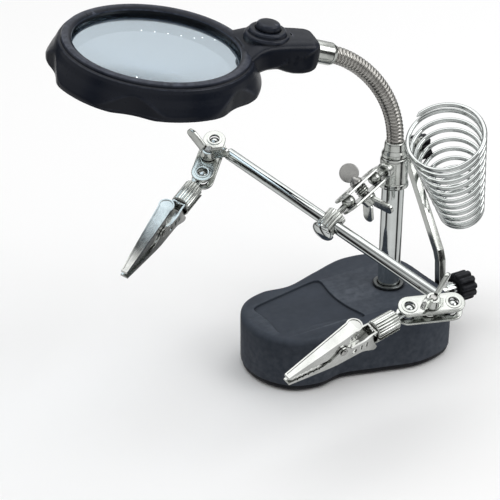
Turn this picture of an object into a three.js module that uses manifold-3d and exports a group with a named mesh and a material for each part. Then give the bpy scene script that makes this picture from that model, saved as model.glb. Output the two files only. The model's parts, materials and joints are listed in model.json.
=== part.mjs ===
// Helping hands clamp: a weighted stand with a post, two alligator clips on a cross rod,
// a lit magnifier on a gooseneck and a coil that holds a soldering iron.
// Millimetres, +Z up. The origin is on the post's axis at the underside of the foot pad.
import * as THREE from 'three';
import Module from 'manifold-3d';
import { mergeVertices } from 'three/addons/utils/BufferGeometryUtils.js';

const wasm = await Module();
wasm.setup();

const { PI, cos, sin } = Math;
const V = (x, y, z) => new THREE.Vector3(x, y, z);
const UP = V(0, 0, 1);
const FIT = 0.3; // gap between pieces that meet in a turned group

// ---------------------------------------------------------------- materials
const metal = (color, roughness = 0.25) =>
  new THREE.MeshStandardMaterial({ color, roughness, metalness: 1 });
const plastic = (color, roughness = 0.5) =>
  new THREE.MeshStandardMaterial({ color, roughness, metalness: 0 });
const CHROME = 0xc8cccd;
const STEEL = 0xb4b6b4;
const SLATE = 0x4b5560;
const BLACK = 0x1a1c20;

// ---------------------------------------------------------------- solids
function solid(geometry) {
  let g = geometry.clone();
  g.deleteAttribute('normal');
  g.deleteAttribute('uv');
  g = mergeVertices(g, 1e-4);
  return new wasm.Manifold(new wasm.Mesh({
    numProp: 3,
    vertProperties: Float32Array.from(g.attributes.position.array),
    triVerts: Uint32Array.from(g.index.array),
  }));
}

const union = (first, ...rest) => rest.reduce((sum, s) => sum.add(s), first);
const without = (first, ...rest) => rest.reduce((sum, s) => sum.subtract(s), first);

// A flat outline in the XY plane, raised from z = low to z = high.
function slab(shape, low, high, curveSegments = 12) {
  const g = new THREE.ExtrudeGeometry(shape, { depth: high - low, bevelEnabled: false, curveSegments });
  return solid(g.translate(0, 0, low));
}

// A side outline drawn with x forward and y as height, spread from y = -half to y = half.
function sideSlab(shape, half) {
  const g = new THREE.ExtrudeGeometry(shape, { depth: 2 * half, bevelEnabled: false, curveSegments: 5 });
  return solid(g.translate(0, 0, -half).rotateX(PI / 2));
}

const shapeOf = (points) => new THREE.Shape(points.map(([x, y]) => new THREE.Vector2(x, y)));

// A closed profile of [radius, height] points turned about Z.
const turned = (profile, sides = 20) =>
  solid(new THREE.LatheGeometry(profile.map(([r, z]) => new THREE.Vector2(r, z)), sides).rotateX(PI / 2));

const rodZ = (radius, low, high, sides = 16) =>
  turned([[0, low], [radius, low], [radius, high], [0, high]], sides);
const rodX = (radius, low, high, sides = 16) => aboutX(rodZ(radius, low, high, sides));
const ringZ = (inner, outer, low, high, sides = 20) =>
  turned([[inner, low], [outer, low], [outer, high], [inner, high], [inner, low]], sides);
const ball = (radius) => solid(new THREE.SphereGeometry(radius, 12, 8));
const block = (x0, x1, y0, y1, z0, z1) =>
  solid(new THREE.BoxGeometry(x1 - x0, y1 - y0, z1 - z0)
    .translate((x0 + x1) / 2, (y0 + y1) / 2, (z0 + z1) / 2));

const moved = (s, matrix) => s.transform(matrix.elements);
const aboutX = (s) => moved(s, new THREE.Matrix4().makeRotationY(PI / 2)); // turns +Z onto +X
const aboutY = (s) => moved(s, new THREE.Matrix4().makeRotationX(-PI / 2)); // turns +Z onto +Y
const shifted = (s, x, y, z) => moved(s, new THREE.Matrix4().makeTranslation(x, y, z));
const spun = (s, angle) => moved(s, new THREE.Matrix4().makeRotationZ(angle));

// The frame at an origin whose X runs along xAxis and whose Z leans as near to zHint as it can.
function frameAt(origin, xAxis, zHint) {
  const x = xAxis.clone().normalize();
  const y = zHint.clone().cross(x).normalize();
  const z = x.clone().cross(y);
  return new THREE.Matrix4().makeBasis(x, y, z).setPosition(origin);
}

const assembly = new THREE.Group();
assembly.name = 'helping_hands_clamp';

function add(name, shape, material, matrix = new THREE.Matrix4()) {
  const data = moved(shape, matrix).getMesh();
  const g = new THREE.BufferGeometry();
  g.setAttribute('position', new THREE.BufferAttribute(Float32Array.from(data.vertProperties), 3));
  g.setIndex(new THREE.BufferAttribute(Uint32Array.from(data.triVerts), 1));
  g.computeVertexNormals();
  const mesh = new THREE.Mesh(g, material);
  mesh.name = name;
  assembly.add(mesh);
}

// ---------------------------------------------------------------- layout
// The base's long axis points back and to the right: X of the stand frame.
const BASE_TURN = THREE.MathUtils.degToRad(31);
const STAND = new THREE.Matrix4().makeRotationZ(BASE_TURN);
const BASE_TOP = 24.3;
const POST_RADIUS = 4.75;
const COLLAR_LOW = 71.5;
const COLLAR_HIGH = 84.7;

// The cross rod runs between the centres of the balls on its ends.
const ROD_LEFT = V(-74.3, 4.5, 88.1);
const ROD_RIGHT = V(18.6, -63.5, 49.7);
const ROD_RADIUS = 2.5;
const ROD_AXIS = ROD_RIGHT.clone().sub(ROD_LEFT).normalize();

// The block the rod slides through, its stem's ball, and the ball on the collar.
const BALL_SPACING = 17.5;
const BLOCK_AT = ROD_LEFT.clone().addScaledVector(ROD_AXIS, 61.1);
const BLOCK_AXIS = V(-0.633, -0.583, -0.508).projectOnPlane(ROD_AXIS).normalize();
const BLOCK_BALL = BLOCK_AT.clone().addScaledVector(BLOCK_AXIS, -12);
const CENTRE_AXIS = V(-0.637, -0.732, -0.247).normalize();
const CENTRE_NORMAL = V(-0.585, 0.284, 0.76).projectOnPlane(CENTRE_AXIS).normalize();
const COLLAR_BALL = BLOCK_BALL.clone().addScaledVector(CENTRE_AXIS, -BALL_SPACING);

// ---------------------------------------------------------------- base
const BASE_LENGTH_POINTS = [
  [19.5, 0], [19, 14], [14, 26], [-3, 31], [-22, 26.5], [-38, 22],
  [-50, 23.3], [-61, 19.5], [-68, 10], [-70, 0],
];

// The base's waisted outline, drawn inset from the outside by a distance.
function baseOutline(inset) {
  const half = BASE_LENGTH_POINTS;
  const mirrored = half.slice(1, -1).reverse().map(([a, b]) => [a, -b]);
  const knots = [...half, ...mirrored].map(([a, b]) => V(a, b, 0));
  const curve = new THREE.CatmullRomCurve3(knots, true, 'centripetal');
  const steps = 44;
  const points = [];
  for (let i = 0; i < steps; i += 1) {
    const along = curve.getTangentAt(i / steps);
    const at = curve.getPointAt(i / steps);
    points.push([at.x - along.y * inset, at.y + along.x * inset]);
  }
  return shapeOf(points);
}

const PAD_TOP = 1;
const COVER_TOP = 3;
const WALL = 2.5;
const HOLDER_SCREW = { b: -8.4, z: 17.5 }; // where the holder's clamp screw enters the rear wall
const ARM_PLANE = 22; // distance of the holder's flat arm along the base's long axis
const ARM_THICK = 3.6;
const BATTERY = { radius: 5.2, length: 44, height: 9.2, gap: 0.6 };
const BAY = { low: -60.5, high: -15 };

function holderRod(radius, from, to, b, z, sides = 16) {
  return shifted(rodX(radius, from, to, sides), 0, b, z);
}

function baseShell() {
  const round = 2.2; // radius of the rounded top edge
  const outer = new THREE.ExtrudeGeometry(baseOutline(round), {
    depth: BASE_TOP - COVER_TOP - round,
    bevelThickness: round,
    bevelSize: round,
    bevelSegments: 2,
  }).translate(0, 0, COVER_TOP);
  const belowCover = block(-100, 60, -60, 60, -10, COVER_TOP);
  const inside = slab(baseOutline(WALL + 0.6), COVER_TOP - 1, BASE_TOP - WALL);
  const postBoss = ringZ(POST_RADIUS + FIT, 8.5, 13, BASE_TOP - WALL + 0.5, 24);
  const postHole = rodZ(POST_RADIUS + FIT, 0, 40, 24);
  const screwHole = holderRod(2.3, 10, 30, HOLDER_SCREW.b, HOLDER_SCREW.z, 16);
  const body = without(solid(outer), belowCover, inside, postHole);
  return without(union(body, postBoss), screwHole, grooves());
}

// The shallow groove on the base's top: a tray outline with hollow sides.
function grooves() {
  const corner = [[-29, 17.5], [-24.5, -16.5], [-60, -9.5], [-59, 12.5]];
  const hollow = [[-24, 0], [-42, -10], [-56, 1], [-42, 11.5]];
  const path = (scale) => {
    const mid = V(-42, 1, 0);
    const at = ([a, b]) => [mid.x + (a - mid.x) * scale, mid.y + (b - mid.y) * scale];
    const shape = new THREE.Shape();
    shape.moveTo(...at(corner[0]));
    corner.forEach((_, i) => {
      shape.quadraticCurveTo(...at(hollow[i]), ...at(corner[(i + 1) % corner.length]));
    });
    return shape;
  };
  const low = BASE_TOP - 0.6;
  return without(slab(path(1.03), low, BASE_TOP + 1, 5), slab(path(0.97), low - 1, BASE_TOP + 2, 5));
}

add('base_shell', baseShell(), plastic(SLATE, 0.55), STAND);

const DOOR_HALF = 13.5;
const doorShape = (grown = 0) => shapeOf([
  [BAY.low - grown, -DOOR_HALF - grown], [BAY.high + grown, -DOOR_HALF - grown],
  [BAY.high + grown, DOOR_HALF + grown], [BAY.low - grown, DOOR_HALF + grown],
]);

add('bottom_cover', without(
  slab(baseOutline(0.6), PAD_TOP, COVER_TOP),
  slab(doorShape(FIT), 0, 10),
  rodZ(6, 0, 10),
), plastic(BLACK, 0.6), STAND);
add('battery_door', slab(doorShape(), PAD_TOP + 0.2, COVER_TOP - 0.2), plastic(BLACK, 0.5), STAND);
add('foot_pad', without(
  slab(baseOutline(3), 0, PAD_TOP),
  slab(doorShape(1), -1, 10),
), plastic(0x101010, 0.9), STAND);

// The iron weight lies under the post, in the rear half of the base.
add('ballast_weight', without(
  slab(baseOutline(WALL + 1.5), COVER_TOP + FIT, 11.5).intersect(block(BAY.high + 2.5, 60, -60, 60, 0, 30)),
  rodZ(9.5, 0, 30),
), metal(0x5a5450, 0.8), STAND);

// Three battery cells side by side feed the lamp.
function batteryCell() {
  const { radius, length } = BATTERY;
  return turned([
    [0, 0], [radius - 0.4, 0], [radius, 0.6], [radius, length - 2], [radius - 0.6, length - 1.2],
    [1.8, length - 1.2], [1.8, length], [0, length],
  ], 12);
}
[-1, 0, 1].forEach((place, i) => {
  const across = place * (2 * BATTERY.radius + BATTERY.gap);
  const turnedOver = i === 1 ? [BAY.high - 1, -1] : [BAY.low + 1, 1];
  const lie = new THREE.Matrix4().makeTranslation(turnedOver[0], across, BATTERY.height)
    .multiply(new THREE.Matrix4().makeRotationY(turnedOver[1] * PI / 2));
  add(`battery_${i + 1}`, moved(batteryCell(), lie), metal(0x7c7f86, 0.4), STAND);
});

// ---------------------------------------------------------------- post
const SOCKET_TOP = 91.5;
const NECK_RADIUS = 3.5;

add('post', without(
  rodZ(POST_RADIUS, 5.2, SOCKET_TOP - 6.8, 24),
  rodZ(2.6, 0, 100, 16),
), metal(CHROME, 0.15));
add('post_foot_ring', ringZ(POST_RADIUS + 0.1, 6.6, BASE_TOP, BASE_TOP + 1.4, 24), metal(CHROME, 0.2));
add('post_nut', without(
  turned([[0, 6.8], [8.2, 6.8], [8.2, 12.7], [0, 12.7]], 6),
  rodZ(POST_RADIUS + 0.1, 0, 40, 24),
), metal(STEEL, 0.4));

// The collar turns on the post and carries a ball on a short stem.
const STEM_NECK = 1.25;
const BALL_RADIUS = 2.8;
const NECK_END = 7.6; // distance from a ball's centre at which its neck widens

function collar() {
  const body = turned([
    [POST_RADIUS + FIT, COLLAR_LOW], [6.3, COLLAR_LOW], [6.3, COLLAR_LOW + 1.6],
    [5.9, COLLAR_LOW + 2.2], [5.9, COLLAR_HIGH - 1], [5.5, COLLAR_HIGH],
    [POST_RADIUS + FIT, COLLAR_HIGH], [POST_RADIUS + FIT, COLLAR_LOW],
  ], 24);
  const root = V(0, 0, COLLAR_BALL.z + 1.9);
  const reach = COLLAR_BALL.distanceTo(root);
  const stem = union(
    rodX(STEM_NECK, 7, reach, 12),
    rodX(3.4, 3, 7.6, 20),
    shifted(ball(BALL_RADIUS), reach, 0, 0),
  );
  const whole = union(body, moved(stem, frameAt(root, COLLAR_BALL.clone().sub(root), UP)));
  const slot = block(4, 9, -2.6, 2.6, -0.2, 1.4);
  const slotTurn = new THREE.Matrix4().makeRotationZ(THREE.MathUtils.degToRad(-105))
    .setPosition(0, 0, COLLAR_LOW + 0.4);
  return without(whole, rodZ(POST_RADIUS + FIT, 60, 100, 24), moved(slot, slotTurn));
}
add('post_collar', collar(), metal(CHROME, 0.2));

// ---------------------------------------------------------------- plate clamps
// A clamp's frame: X from the first ball to the second, Z along the bolt towards the wing nut.
const PLATE = { low: 2.28, high: 3.28, end: 4.6, ballHole: 2.1, boltHole: 1.8 };
const BOLT_RADIUS = 1.5;

function clampPlate(side) {
  const half = BALL_SPACING / 2;
  const shape = new THREE.Shape();
  shape.absarc(half, 0, PLATE.end, -PI / 2, PI / 2, false);
  shape.absarc(-half, 0, PLATE.end, PI / 2, 1.5 * PI, false);
  const holes = [[-half, PLATE.ballHole], [0, PLATE.boltHole], [half, PLATE.ballHole]];
  holes.forEach(([x, radius]) => {
    const hole = new THREE.Path();
    hole.absarc(x, 0, radius, 0, 2 * PI, true);
    shape.holes.push(hole);
  });
  const [low, high] = side > 0 ? [PLATE.low, PLATE.high] : [-PLATE.high, -PLATE.low];
  return slab(shape, low, high, 6);
}

const BOLT_END = 7.6;

function domedBolt() {
  const under = -PLATE.high - 0.1;
  return turned([
    [0, under - 1.6], [1.6, under - 1.4], [2.7, under - 0.6], [2.9, under], [BOLT_RADIUS, under],
    [BOLT_RADIUS, BOLT_END], [0, BOLT_END],
  ], 20);
}

// The centre clamp's bolt ends in a round flat spade for the fingers.
function spadeBolt() {
  const under = -PLATE.high - 0.1;
  const shaft = turned([
    [0, under - 3], [1.4, under - 3], [2.7, under - 1], [2.7, under], [BOLT_RADIUS, under],
    [BOLT_RADIUS, BOLT_END], [0, BOLT_END],
  ], 20);
  const disc = shifted(aboutY(rodZ(4, -0.8, 0.8, 24)), 0, 0, under - 5.2);
  return spun(union(shaft, disc), 0.56);
}

// The spring that holds a clamp's plates apart, drawn as a ribbed sleeve on the bolt.
function clampSpring() {
  const end = PLATE.low - 0.1;
  const rib = (2 * end) / 3;
  const profile = [[1.8, -end]];
  for (let i = 0; i < 3; i += 1) {
    const low = -end + rib * i;
    profile.push([2.2, low + 0.02], [2.8, low + rib / 2]);
  }
  profile.push([2.2, end], [1.8, end], [1.8, -end]);
  return turned(profile, 12);
}

const NUT_BASE = PLATE.high + FIT;

// A bar with round ends between two points.
function capsule([x0, y0], [x1, y1], radius) {
  const lean = Math.atan2(y1 - y0, x1 - x0);
  const shape = new THREE.Shape();
  shape.absarc(x1, y1, radius, lean - PI / 2, lean + PI / 2, false);
  shape.absarc(x0, y0, radius, lean + PI / 2, lean + 1.5 * PI, false);
  return shape;
}

function wingNut(turn) {
  const hub = turned([
    [0, NUT_BASE], [3.4, NUT_BASE], [3.4, NUT_BASE + 0.8], [2.6, NUT_BASE + 3.6], [0, NUT_BASE + 3.6],
  ], 16);
  const ear = sideSlab(capsule([2.6, NUT_BASE + 2.9], [8, NUT_BASE + 8], 2.3), 0.65);
  const bore = rodZ(BOLT_RADIUS + FIT, 0, 20, 12);
  return spun(without(union(hub, ear, spun(ear, PI)), bore), turn);
}

function addClamp(name, firstBall, axis, normal, { spade, nutTurn }) {
  const middle = firstBall.clone().addScaledVector(axis, BALL_SPACING / 2);
  const frame = frameAt(middle, axis, normal);
  add(`${name}_plate_upper`, clampPlate(spade ? -1 : 1), metal(CHROME, 0.2), frame);
  add(`${name}_plate_lower`, clampPlate(spade ? 1 : -1), metal(CHROME, 0.2), frame);
  add(`${name}_clamp_bolt`, spade ? spadeBolt() : domedBolt(), metal(STEEL, 0.3), frame);
  add(`${name}_clamp_spring`, clampSpring(), metal(STEEL, 0.35), frame);
  add(`${name}_wing_nut`, wingNut(nutTurn), metal(CHROME, 0.25), frame);
}

addClamp('centre', COLLAR_BALL, CENTRE_AXIS, CENTRE_NORMAL.clone().negate(), { spade: true, nutTurn: 1.66 });

// ---------------------------------------------------------------- rod and its block
function rodBlock() {
  const stem = union(
    ball(BALL_RADIUS),
    rodX(STEM_NECK, 0, 8, 12),
  );
  const body = fluted(4.25, 7.2, 15.8);
  const rodHole = shifted(aboutY(rodZ(ROD_RADIUS + FIT, -10, 10, 24)), 12, 0, 0);
  const capHole = rodX(1.9, 14, 20, 16);
  return without(union(stem, body), rodHole, capHole);
}

// A rod along X with shallow flutes around it.
function fluted(radius, from, to, flutes = 16) {
  const shape = new THREE.Shape();
  const steps = flutes * 2;
  for (let i = 0; i < steps; i += 1) {
    const r = radius - (i % 2 ? 0.28 : 0);
    const angle = (2 * PI * i) / steps;
    if (i === 0) shape.moveTo(r, 0);
    else shape.lineTo(r * cos(angle), r * sin(angle));
  }
  return aboutX(slab(shape, from, to));
}

// The cap screws into the block's end and presses on the rod.
function blockCap() {
  const head = 16.1;
  const dome = turned([
    [0, head], [4.9, head], [4.9, head + 0.8], [4.2, head + 1.9], [2.6, head + 2.7], [0, head + 3],
  ], 28);
  return aboutX(union(dome, rodZ(1.6, 12 + ROD_RADIUS + FIT, head + 0.5, 16)));
}

const BLOCK = frameAt(BLOCK_BALL, BLOCK_AXIS, ROD_AXIS.clone().cross(BLOCK_AXIS));
add('rod_block', rodBlock(), metal(CHROME, 0.25), BLOCK);
add('rod_block_cap', blockCap(), metal(CHROME, 0.2), BLOCK);

function crossRod() {
  const length = ROD_LEFT.distanceTo(ROD_RIGHT);
  return union(
    rodX(ROD_RADIUS, NECK_END, length - NECK_END, 24),
    rodX(STEM_NECK, 0, length, 12),
    ball(BALL_RADIUS),
    shifted(ball(BALL_RADIUS), length, 0, 0),
  );
}
add('cross_rod', crossRod(), metal(CHROME, 0.12), frameAt(ROD_LEFT, ROD_AXIS, UP));

// ---------------------------------------------------------------- clips
// A clip's frame: the ball's centre at the origin, X along the clip to its tip, Z towards the upper jaw.
const CLIP_LENGTH = 61;
const SLEEVE = { from: 7.2, to: 18.5, radius: 3.9, bore: 2.5 };
const HINGE_PIN = { x: 36, z: 2 };
const JAW_WALL = 0.6;
const BITE = 0.8; // half the opening between the closed jaws

function clipStem() {
  return aboutX(union(
    turned([
      [0, 0], [STEM_NECK, 0], [STEM_NECK, 7.4], [2.2, 7.6], [2.2, 15.2], [0, 15.2],
    ], 16),
    ball(BALL_RADIUS),
  ));
}

function clipSleeve() {
  return without(fluted(SLEEVE.radius, SLEEVE.from, SLEEVE.to), rodX(SLEEVE.bore, 0, 30, 16));
}

// Half widths of a jaw seen from above, from its rear to its tip, as a plan outline.
function taper(points, low, high) {
  const rear = points.map(([x, w]) => [x, w]);
  const front = [...points].reverse().map(([x, w]) => [x, -w]);
  return slab(shapeOf([...front, ...rear]), low, high);
}

const pinHole = () => shifted(aboutY(rodZ(1.2, -6, 6, 10)), HINGE_PIN.x, 0, HINGE_PIN.z);

function lowerJaw() {
  const tip = CLIP_LENGTH;
  const side = sideSlab(shapeOf([
    [18.8, -2.6], [18.8, -4.6], [17.2, -7.2], [18.6, -8], [25, -4.4], [42, -3.8], [tip, -1.8], [tip, -BITE],
    [45, -BITE], [43.5, -0.1], [42, -0.1], [39, 1.8], [37.5, 3.8], [34.5, 3.8], [32, 1.4], [25, 1.2],
    [22, 2.3], [18.8, 2.3],
  ]), 3);
  const plan = taper([[16, 2.6], [22, 3], [38, 3], [tip, 1.5]], -10, 10);
  const hollow = sideSlab(shapeOf([
    [22.2, -3.2], [25, -3.6], [42, -3.1], [tip - 1.5, -1.5], [tip - 1.5, 6], [22.2, 6],
  ]), 3).intersect(taper([[21, 2.4], [38, 2.4], [tip - 1, 0.9]], -10, 10));
  const plug = rodX(SLEEVE.bore - FIT, 15.8, 20, 16);
  const eye = shifted(aboutY(rodZ(1, -6, 6, 8)), 30, 0, -1.4);
  const slots = [23.9, 26.6].map((x) => block(x - 0.5, x + 0.5, -6, 6, -2.6, -0.2));
  const teeth = [47, 49.5, 52, 54.5, 57].map((x) =>
    sideSlab(shapeOf([[x - 0.8, 0], [x, -BITE - 0.7], [x + 0.8, 0]]), 4));
  return without(union(side.intersect(plan), plug), hollow, eye, ...slots, ...teeth, pinHole());
}

function upperJaw() {
  const tip = CLIP_LENGTH;
  const back = [[26.6, 10.9], [30, 10.8], [36, 8.9]];
  const strip = sideSlab(shapeOf([
    ...back, [tip, 2], [tip, BITE + 0.1], [36, 8], [30, 9.9], [26.6, 10],
  ]), 4);
  const thumb = new THREE.Shape();
  thumb.moveTo(tip, -1.3);
  thumb.lineTo(tip, 1.3);
  thumb.lineTo(36, 2.6);
  thumb.absarc(29.8, 0, 3.2, PI / 3, -PI / 3, false);
  thumb.lineTo(36, -2.6);
  const top = strip.intersect(slab(thumb, 0, 20, 10));
  const flangeSide = sideSlab(shapeOf([
    [32, 9.2], [33, 4], [34.2, 0.6], [37.5, 0.2], [40.5, 1], [44, BITE], [tip, BITE], [tip, 1.9], [36, 8.7],
  ]), 4);
  const flanges = without(
    flangeSide.intersect(taper([[30, 2.1], [42, 2.1], [tip, 1.2]], -10, 20)),
    taper([[28, 2.1 - JAW_WALL], [42, 2.1 - JAW_WALL], [tip - 1, 0.6]], -10, 20)
      .intersect(sideSlab(shapeOf([[28, -5], [tip - 1, -5], [tip - 1, 1.6], [36, 8.2], [28, 10.2]]), 4)),
  );
  const teeth = [48.2, 50.7, 53.2, 55.7, 58.2].map((x) =>
    sideSlab(shapeOf([[x - 0.8, 0.1], [x + 0.8, 0.1], [x, BITE + 0.6]]), 4));
  return without(union(top, flanges), pinHole(), ...teeth);
}

function hingePin() {
  return shifted(aboutY(turned([
    [0, -3.8], [1.5, -3.8], [1.5, -3 - FIT], [0.9, -3 - FIT],
    [0.9, 3 + FIT], [1.5, 3 + FIT], [1.5, 3.8], [0, 3.8],
  ], 16)), HINGE_PIN.x, 0, HINGE_PIN.z);
}

// The torsion spring: turns around the pin, then a leg along each jaw.
class SpringPath extends THREE.Curve {
  getPoint(t, target = new THREE.Vector3()) {
    const turns = 2.6;
    const radius = 1.4;
    const leg = 5;
    const total = 2 * PI * radius * turns;
    const along = t * (total + 2 * leg) - leg;
    const inside = Math.min(Math.max(along, 0), total);
    const angle = inside / radius;
    const beyond = along - inside;
    return target.set(
      HINGE_PIN.x - radius * sin(angle) - beyond * cos(angle),
      -1 + (2 * inside) / total,
      HINGE_PIN.z - radius * cos(angle) + beyond * sin(angle),
    );
  }
}

function jawSpring() {
  const round = new THREE.Shape().absarc(0, 0, 0.28, 0, 2 * PI, false);
  return solid(new THREE.ExtrudeGeometry(round, {
    extrudePath: new SpringPath(), steps: 30, curveSegments: 2, bevelEnabled: false,
  }));
}

function addClip(side, ball, axis, jawUp) {
  const frame = frameAt(ball, axis, jawUp);
  add(`${side}_clip_stem`, clipStem(), metal(CHROME, 0.2), frame);
  add(`${side}_clip_sleeve`, clipSleeve(), metal(CHROME, 0.3), frame);
  add(`${side}_lower_jaw`, lowerJaw(), metal(CHROME, 0.22), frame);
  add(`${side}_upper_jaw`, upperJaw(), metal(CHROME, 0.22), frame);
  add(`${side}_jaw_pin`, hingePin(), metal(STEEL, 0.3), frame);
  add(`${side}_jaw_spring`, jawSpring(), metal(STEEL, 0.35), frame);
}

// Each side: the plates' run from the rod's ball to the clip's ball, then the clip itself.
const WORK_NORMAL = V(0.035, -0.443, 0.896); // up from the sheet the closed jaws would hold
const SIDES = {
  left: {
    ball: ROD_LEFT, run: V(-4.65, -14.95, -7.85), normal: V(0.01, -0.48, 0.88),
    tip: V(-107.5, -59.9, 62.8), roll: 0, nutTurn: 1.23,
  },
  right: {
    ball: ROD_RIGHT, run: V(-16.7, -3.4, 0), normal: V(0.04, -0.41, 0.91),
    tip: V(-45.4, -103.6, 42.5), roll: 5, nutTurn: 0.77,
  },
};
Object.entries(SIDES).forEach(([side, at]) => {
  const run = at.run.clone().normalize();
  addClamp(side, at.ball, run, at.normal, { spade: false, nutTurn: at.nutTurn });
  const clipBall = at.ball.clone().addScaledVector(run, BALL_SPACING);
  const axis = at.tip.clone().sub(clipBall).normalize();
  const jawUp = WORK_NORMAL.clone().applyAxisAngle(axis, THREE.MathUtils.degToRad(at.roll));
  addClip(side, clipBall, axis, jawUp);
});

// ---------------------------------------------------------------- iron holder
const UPPER_PIVOT = { b: 20.8, z: 74 };
const ARM_POINTS = [[HOLDER_SCREW.b, HOLDER_SCREW.z], [-7, 33], [-5.4, 37], [UPPER_PIVOT.b, UPPER_PIVOT.z]];
const armLow = ARM_PLANE - ARM_THICK / 2;
const armHigh = ARM_PLANE + ARM_THICK / 2;

// Turns an outline drawn as (b, height) into a slab that spans two distances along the long axis.
function acrossStand(shape, from, to) {
  const upright = new THREE.Matrix4().makeBasis(V(0, 1, 0), V(0, 0, 1), V(1, 0, 0));
  return moved(slab(shape, from, to, 4), upright);
}

function holderArm() {
  const bars = [];
  for (let i = 1; i < ARM_POINTS.length; i += 1) {
    bars.push(acrossStand(capsule(ARM_POINTS[i - 1], ARM_POINTS[i], 1.7), armLow, armHigh));
  }
  const eyes = [HOLDER_SCREW, UPPER_PIVOT].map(({ b, z }) =>
    holderRod(4.4, armLow, armHigh, b, z));
  const bores = [HOLDER_SCREW, UPPER_PIVOT].map(({ b, z }) =>
    holderRod(2 + FIT, armLow - 1, armHigh + 1, b, z, 12));
  return without(union(...bars, ...eyes), ...bores);
}
add('holder_arm', holderArm(), metal(CHROME, 0.25), STAND);

function lobedKnob(radius, from, to, { b, z }, lobes = 10) {
  const shape = new THREE.Shape();
  const steps = lobes * 3;
  for (let i = 0; i < steps; i += 1) {
    const angle = (2 * PI * i) / steps;
    const r = radius - 0.35 + 0.45 * cos(lobes * angle);
    if (i === 0) shape.moveTo(r, 0);
    else shape.lineTo(r * cos(angle), r * sin(angle));
  }
  const bevel = 0.9;
  const body = solid(new THREE.ExtrudeGeometry(shape, {
    depth: to - from - 2 * bevel,
    bevelThickness: bevel,
    bevelSize: bevel,
    bevelOffset: -bevel,
    bevelSegments: 1,
  }).translate(0, 0, from + bevel));
  return shifted(aboutX(body), 0, b, z);
}

const LOWER_KNOB = { from: 30, to: 38 };
add('lower_clamp_knob', without(
  lobedKnob(6.4, LOWER_KNOB.from, LOWER_KNOB.to, HOLDER_SCREW),
  holderRod(2.1, 20, 35, HOLDER_SCREW.b, HOLDER_SCREW.z, 12),
), plastic(BLACK, 0.45), STAND);
add('lower_clamp_screw', union(
  holderRod(2, 10.5, 34.8, HOLDER_SCREW.b, HOLDER_SCREW.z, 12),
  holderRod(3.4, armHigh + FIT, LOWER_KNOB.from - 0.1, HOLDER_SCREW.b, HOLDER_SCREW.z, 16),
), metal(CHROME, 0.3), STAND);
add('base_insert_nut', without(
  holderRod(3.8, 11.5, 16, HOLDER_SCREW.b, HOLDER_SCREW.z, 6),
  holderRod(2.2, 0, 40, HOLDER_SCREW.b, HOLDER_SCREW.z, 12),
), metal(STEEL, 0.4), STAND);

// The bracket clamps against the arm's upper eye and holds the coil by its side.
const BRACKET = { from: armHigh + FIT, to: armHigh + FIT + 1.5 };
const UPPER_KNOB = { from: BRACKET.to + FIT, to: BRACKET.to + FIT + 6.5 };

function coilBracket() {
  const { b, z } = UPPER_PIVOT;
  const shape = shapeOf([[b, z - 4.6], [b, z + 4.6], [14.1, 82.5], [15.3, 68.5]]);
  const plate = union(
    acrossStand(shape, BRACKET.from, BRACKET.to),
    holderRod(4.6, BRACKET.from, BRACKET.to, b, z),
  );
  return without(plate, holderRod(2 + FIT, 0, 60, b, z, 12));
}
add('coil_bracket', coilBracket(), metal(CHROME, 0.3), STAND);
add('upper_clamp_knob', without(
  lobedKnob(5.6, UPPER_KNOB.from, UPPER_KNOB.to, UPPER_PIVOT),
  holderRod(2 + FIT, 20, UPPER_KNOB.to - 1.6, UPPER_PIVOT.b, UPPER_PIVOT.z, 12),
), plastic(BLACK, 0.45), STAND);
add('upper_clamp_screw', union(
  holderRod(2, armLow - 1, UPPER_KNOB.to - 2.2, UPPER_PIVOT.b, UPPER_PIVOT.z, 12),
  holderRod(3.3, armLow - FIT - 1.9, armLow - FIT, UPPER_PIVOT.b, UPPER_PIVOT.z, 16),
), metal(CHROME, 0.3), STAND);

// The coil narrows downwards; its end turns lie closer together than the rest.
const COIL = {
  top: V(21.4, 6.7, 90.8),
  bottom: V(34.4, 33.7, 42.7),
  topRadius: 16.4,
  bottomRadius: 9.2,
  wire: 1,
  turns: 11,
};

class CoilPath extends THREE.Curve {
  getPoint(t, target = new THREE.Vector3()) {
    const turn = t * COIL.turns;
    const closeTop = 2.8;
    const closeBottom = 2.3;
    const open = COIL.turns - 2.5;
    const length = COIL.top.distanceTo(COIL.bottom);
    const pitch = (length - closeTop - 1.5 * closeBottom) / open;
    const depth = Math.min(turn, 1) * closeTop
      + Math.min(Math.max(turn - 1, 0), open) * pitch
      + Math.max(turn - 1 - open, 0) * closeBottom;
    const radius = COIL.topRadius + (COIL.bottomRadius - COIL.topRadius) * (depth / length);
    const angle = 2 * PI * turn;
    return target.set(radius * cos(angle), -radius * sin(angle), -depth);
  }
}

function ironCoil() {
  const round = new THREE.Shape().absarc(0, 0, COIL.wire, 0, 2 * PI, false);
  return solid(new THREE.ExtrudeGeometry(round, {
    extrudePath: new CoilPath(), steps: COIL.turns * 12, curveSegments: 3, bevelEnabled: false,
  }));
}
const COIL_AXIS = COIL.top.clone().sub(COIL.bottom).normalize();
const coilFrame = frameAt(COIL.top, V(-0.5, 0.7, 0).projectOnPlane(COIL_AXIS), COIL_AXIS);
add('iron_coil', ironCoil(), metal(CHROME, 0.15), coilFrame);

// ---------------------------------------------------------------- magnifier
// The head's frame: the lens centre at the origin, X towards the gooseneck, Z up through the lens.
const LENS_AT = V(-94.9, -29.7, 143.4);
const HEAD_X = V(60.7, 19.7, -7.8).normalize();
const HEAD = frameAt(LENS_AT, HEAD_X, V(0.146, -0.06, 0.987));
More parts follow.
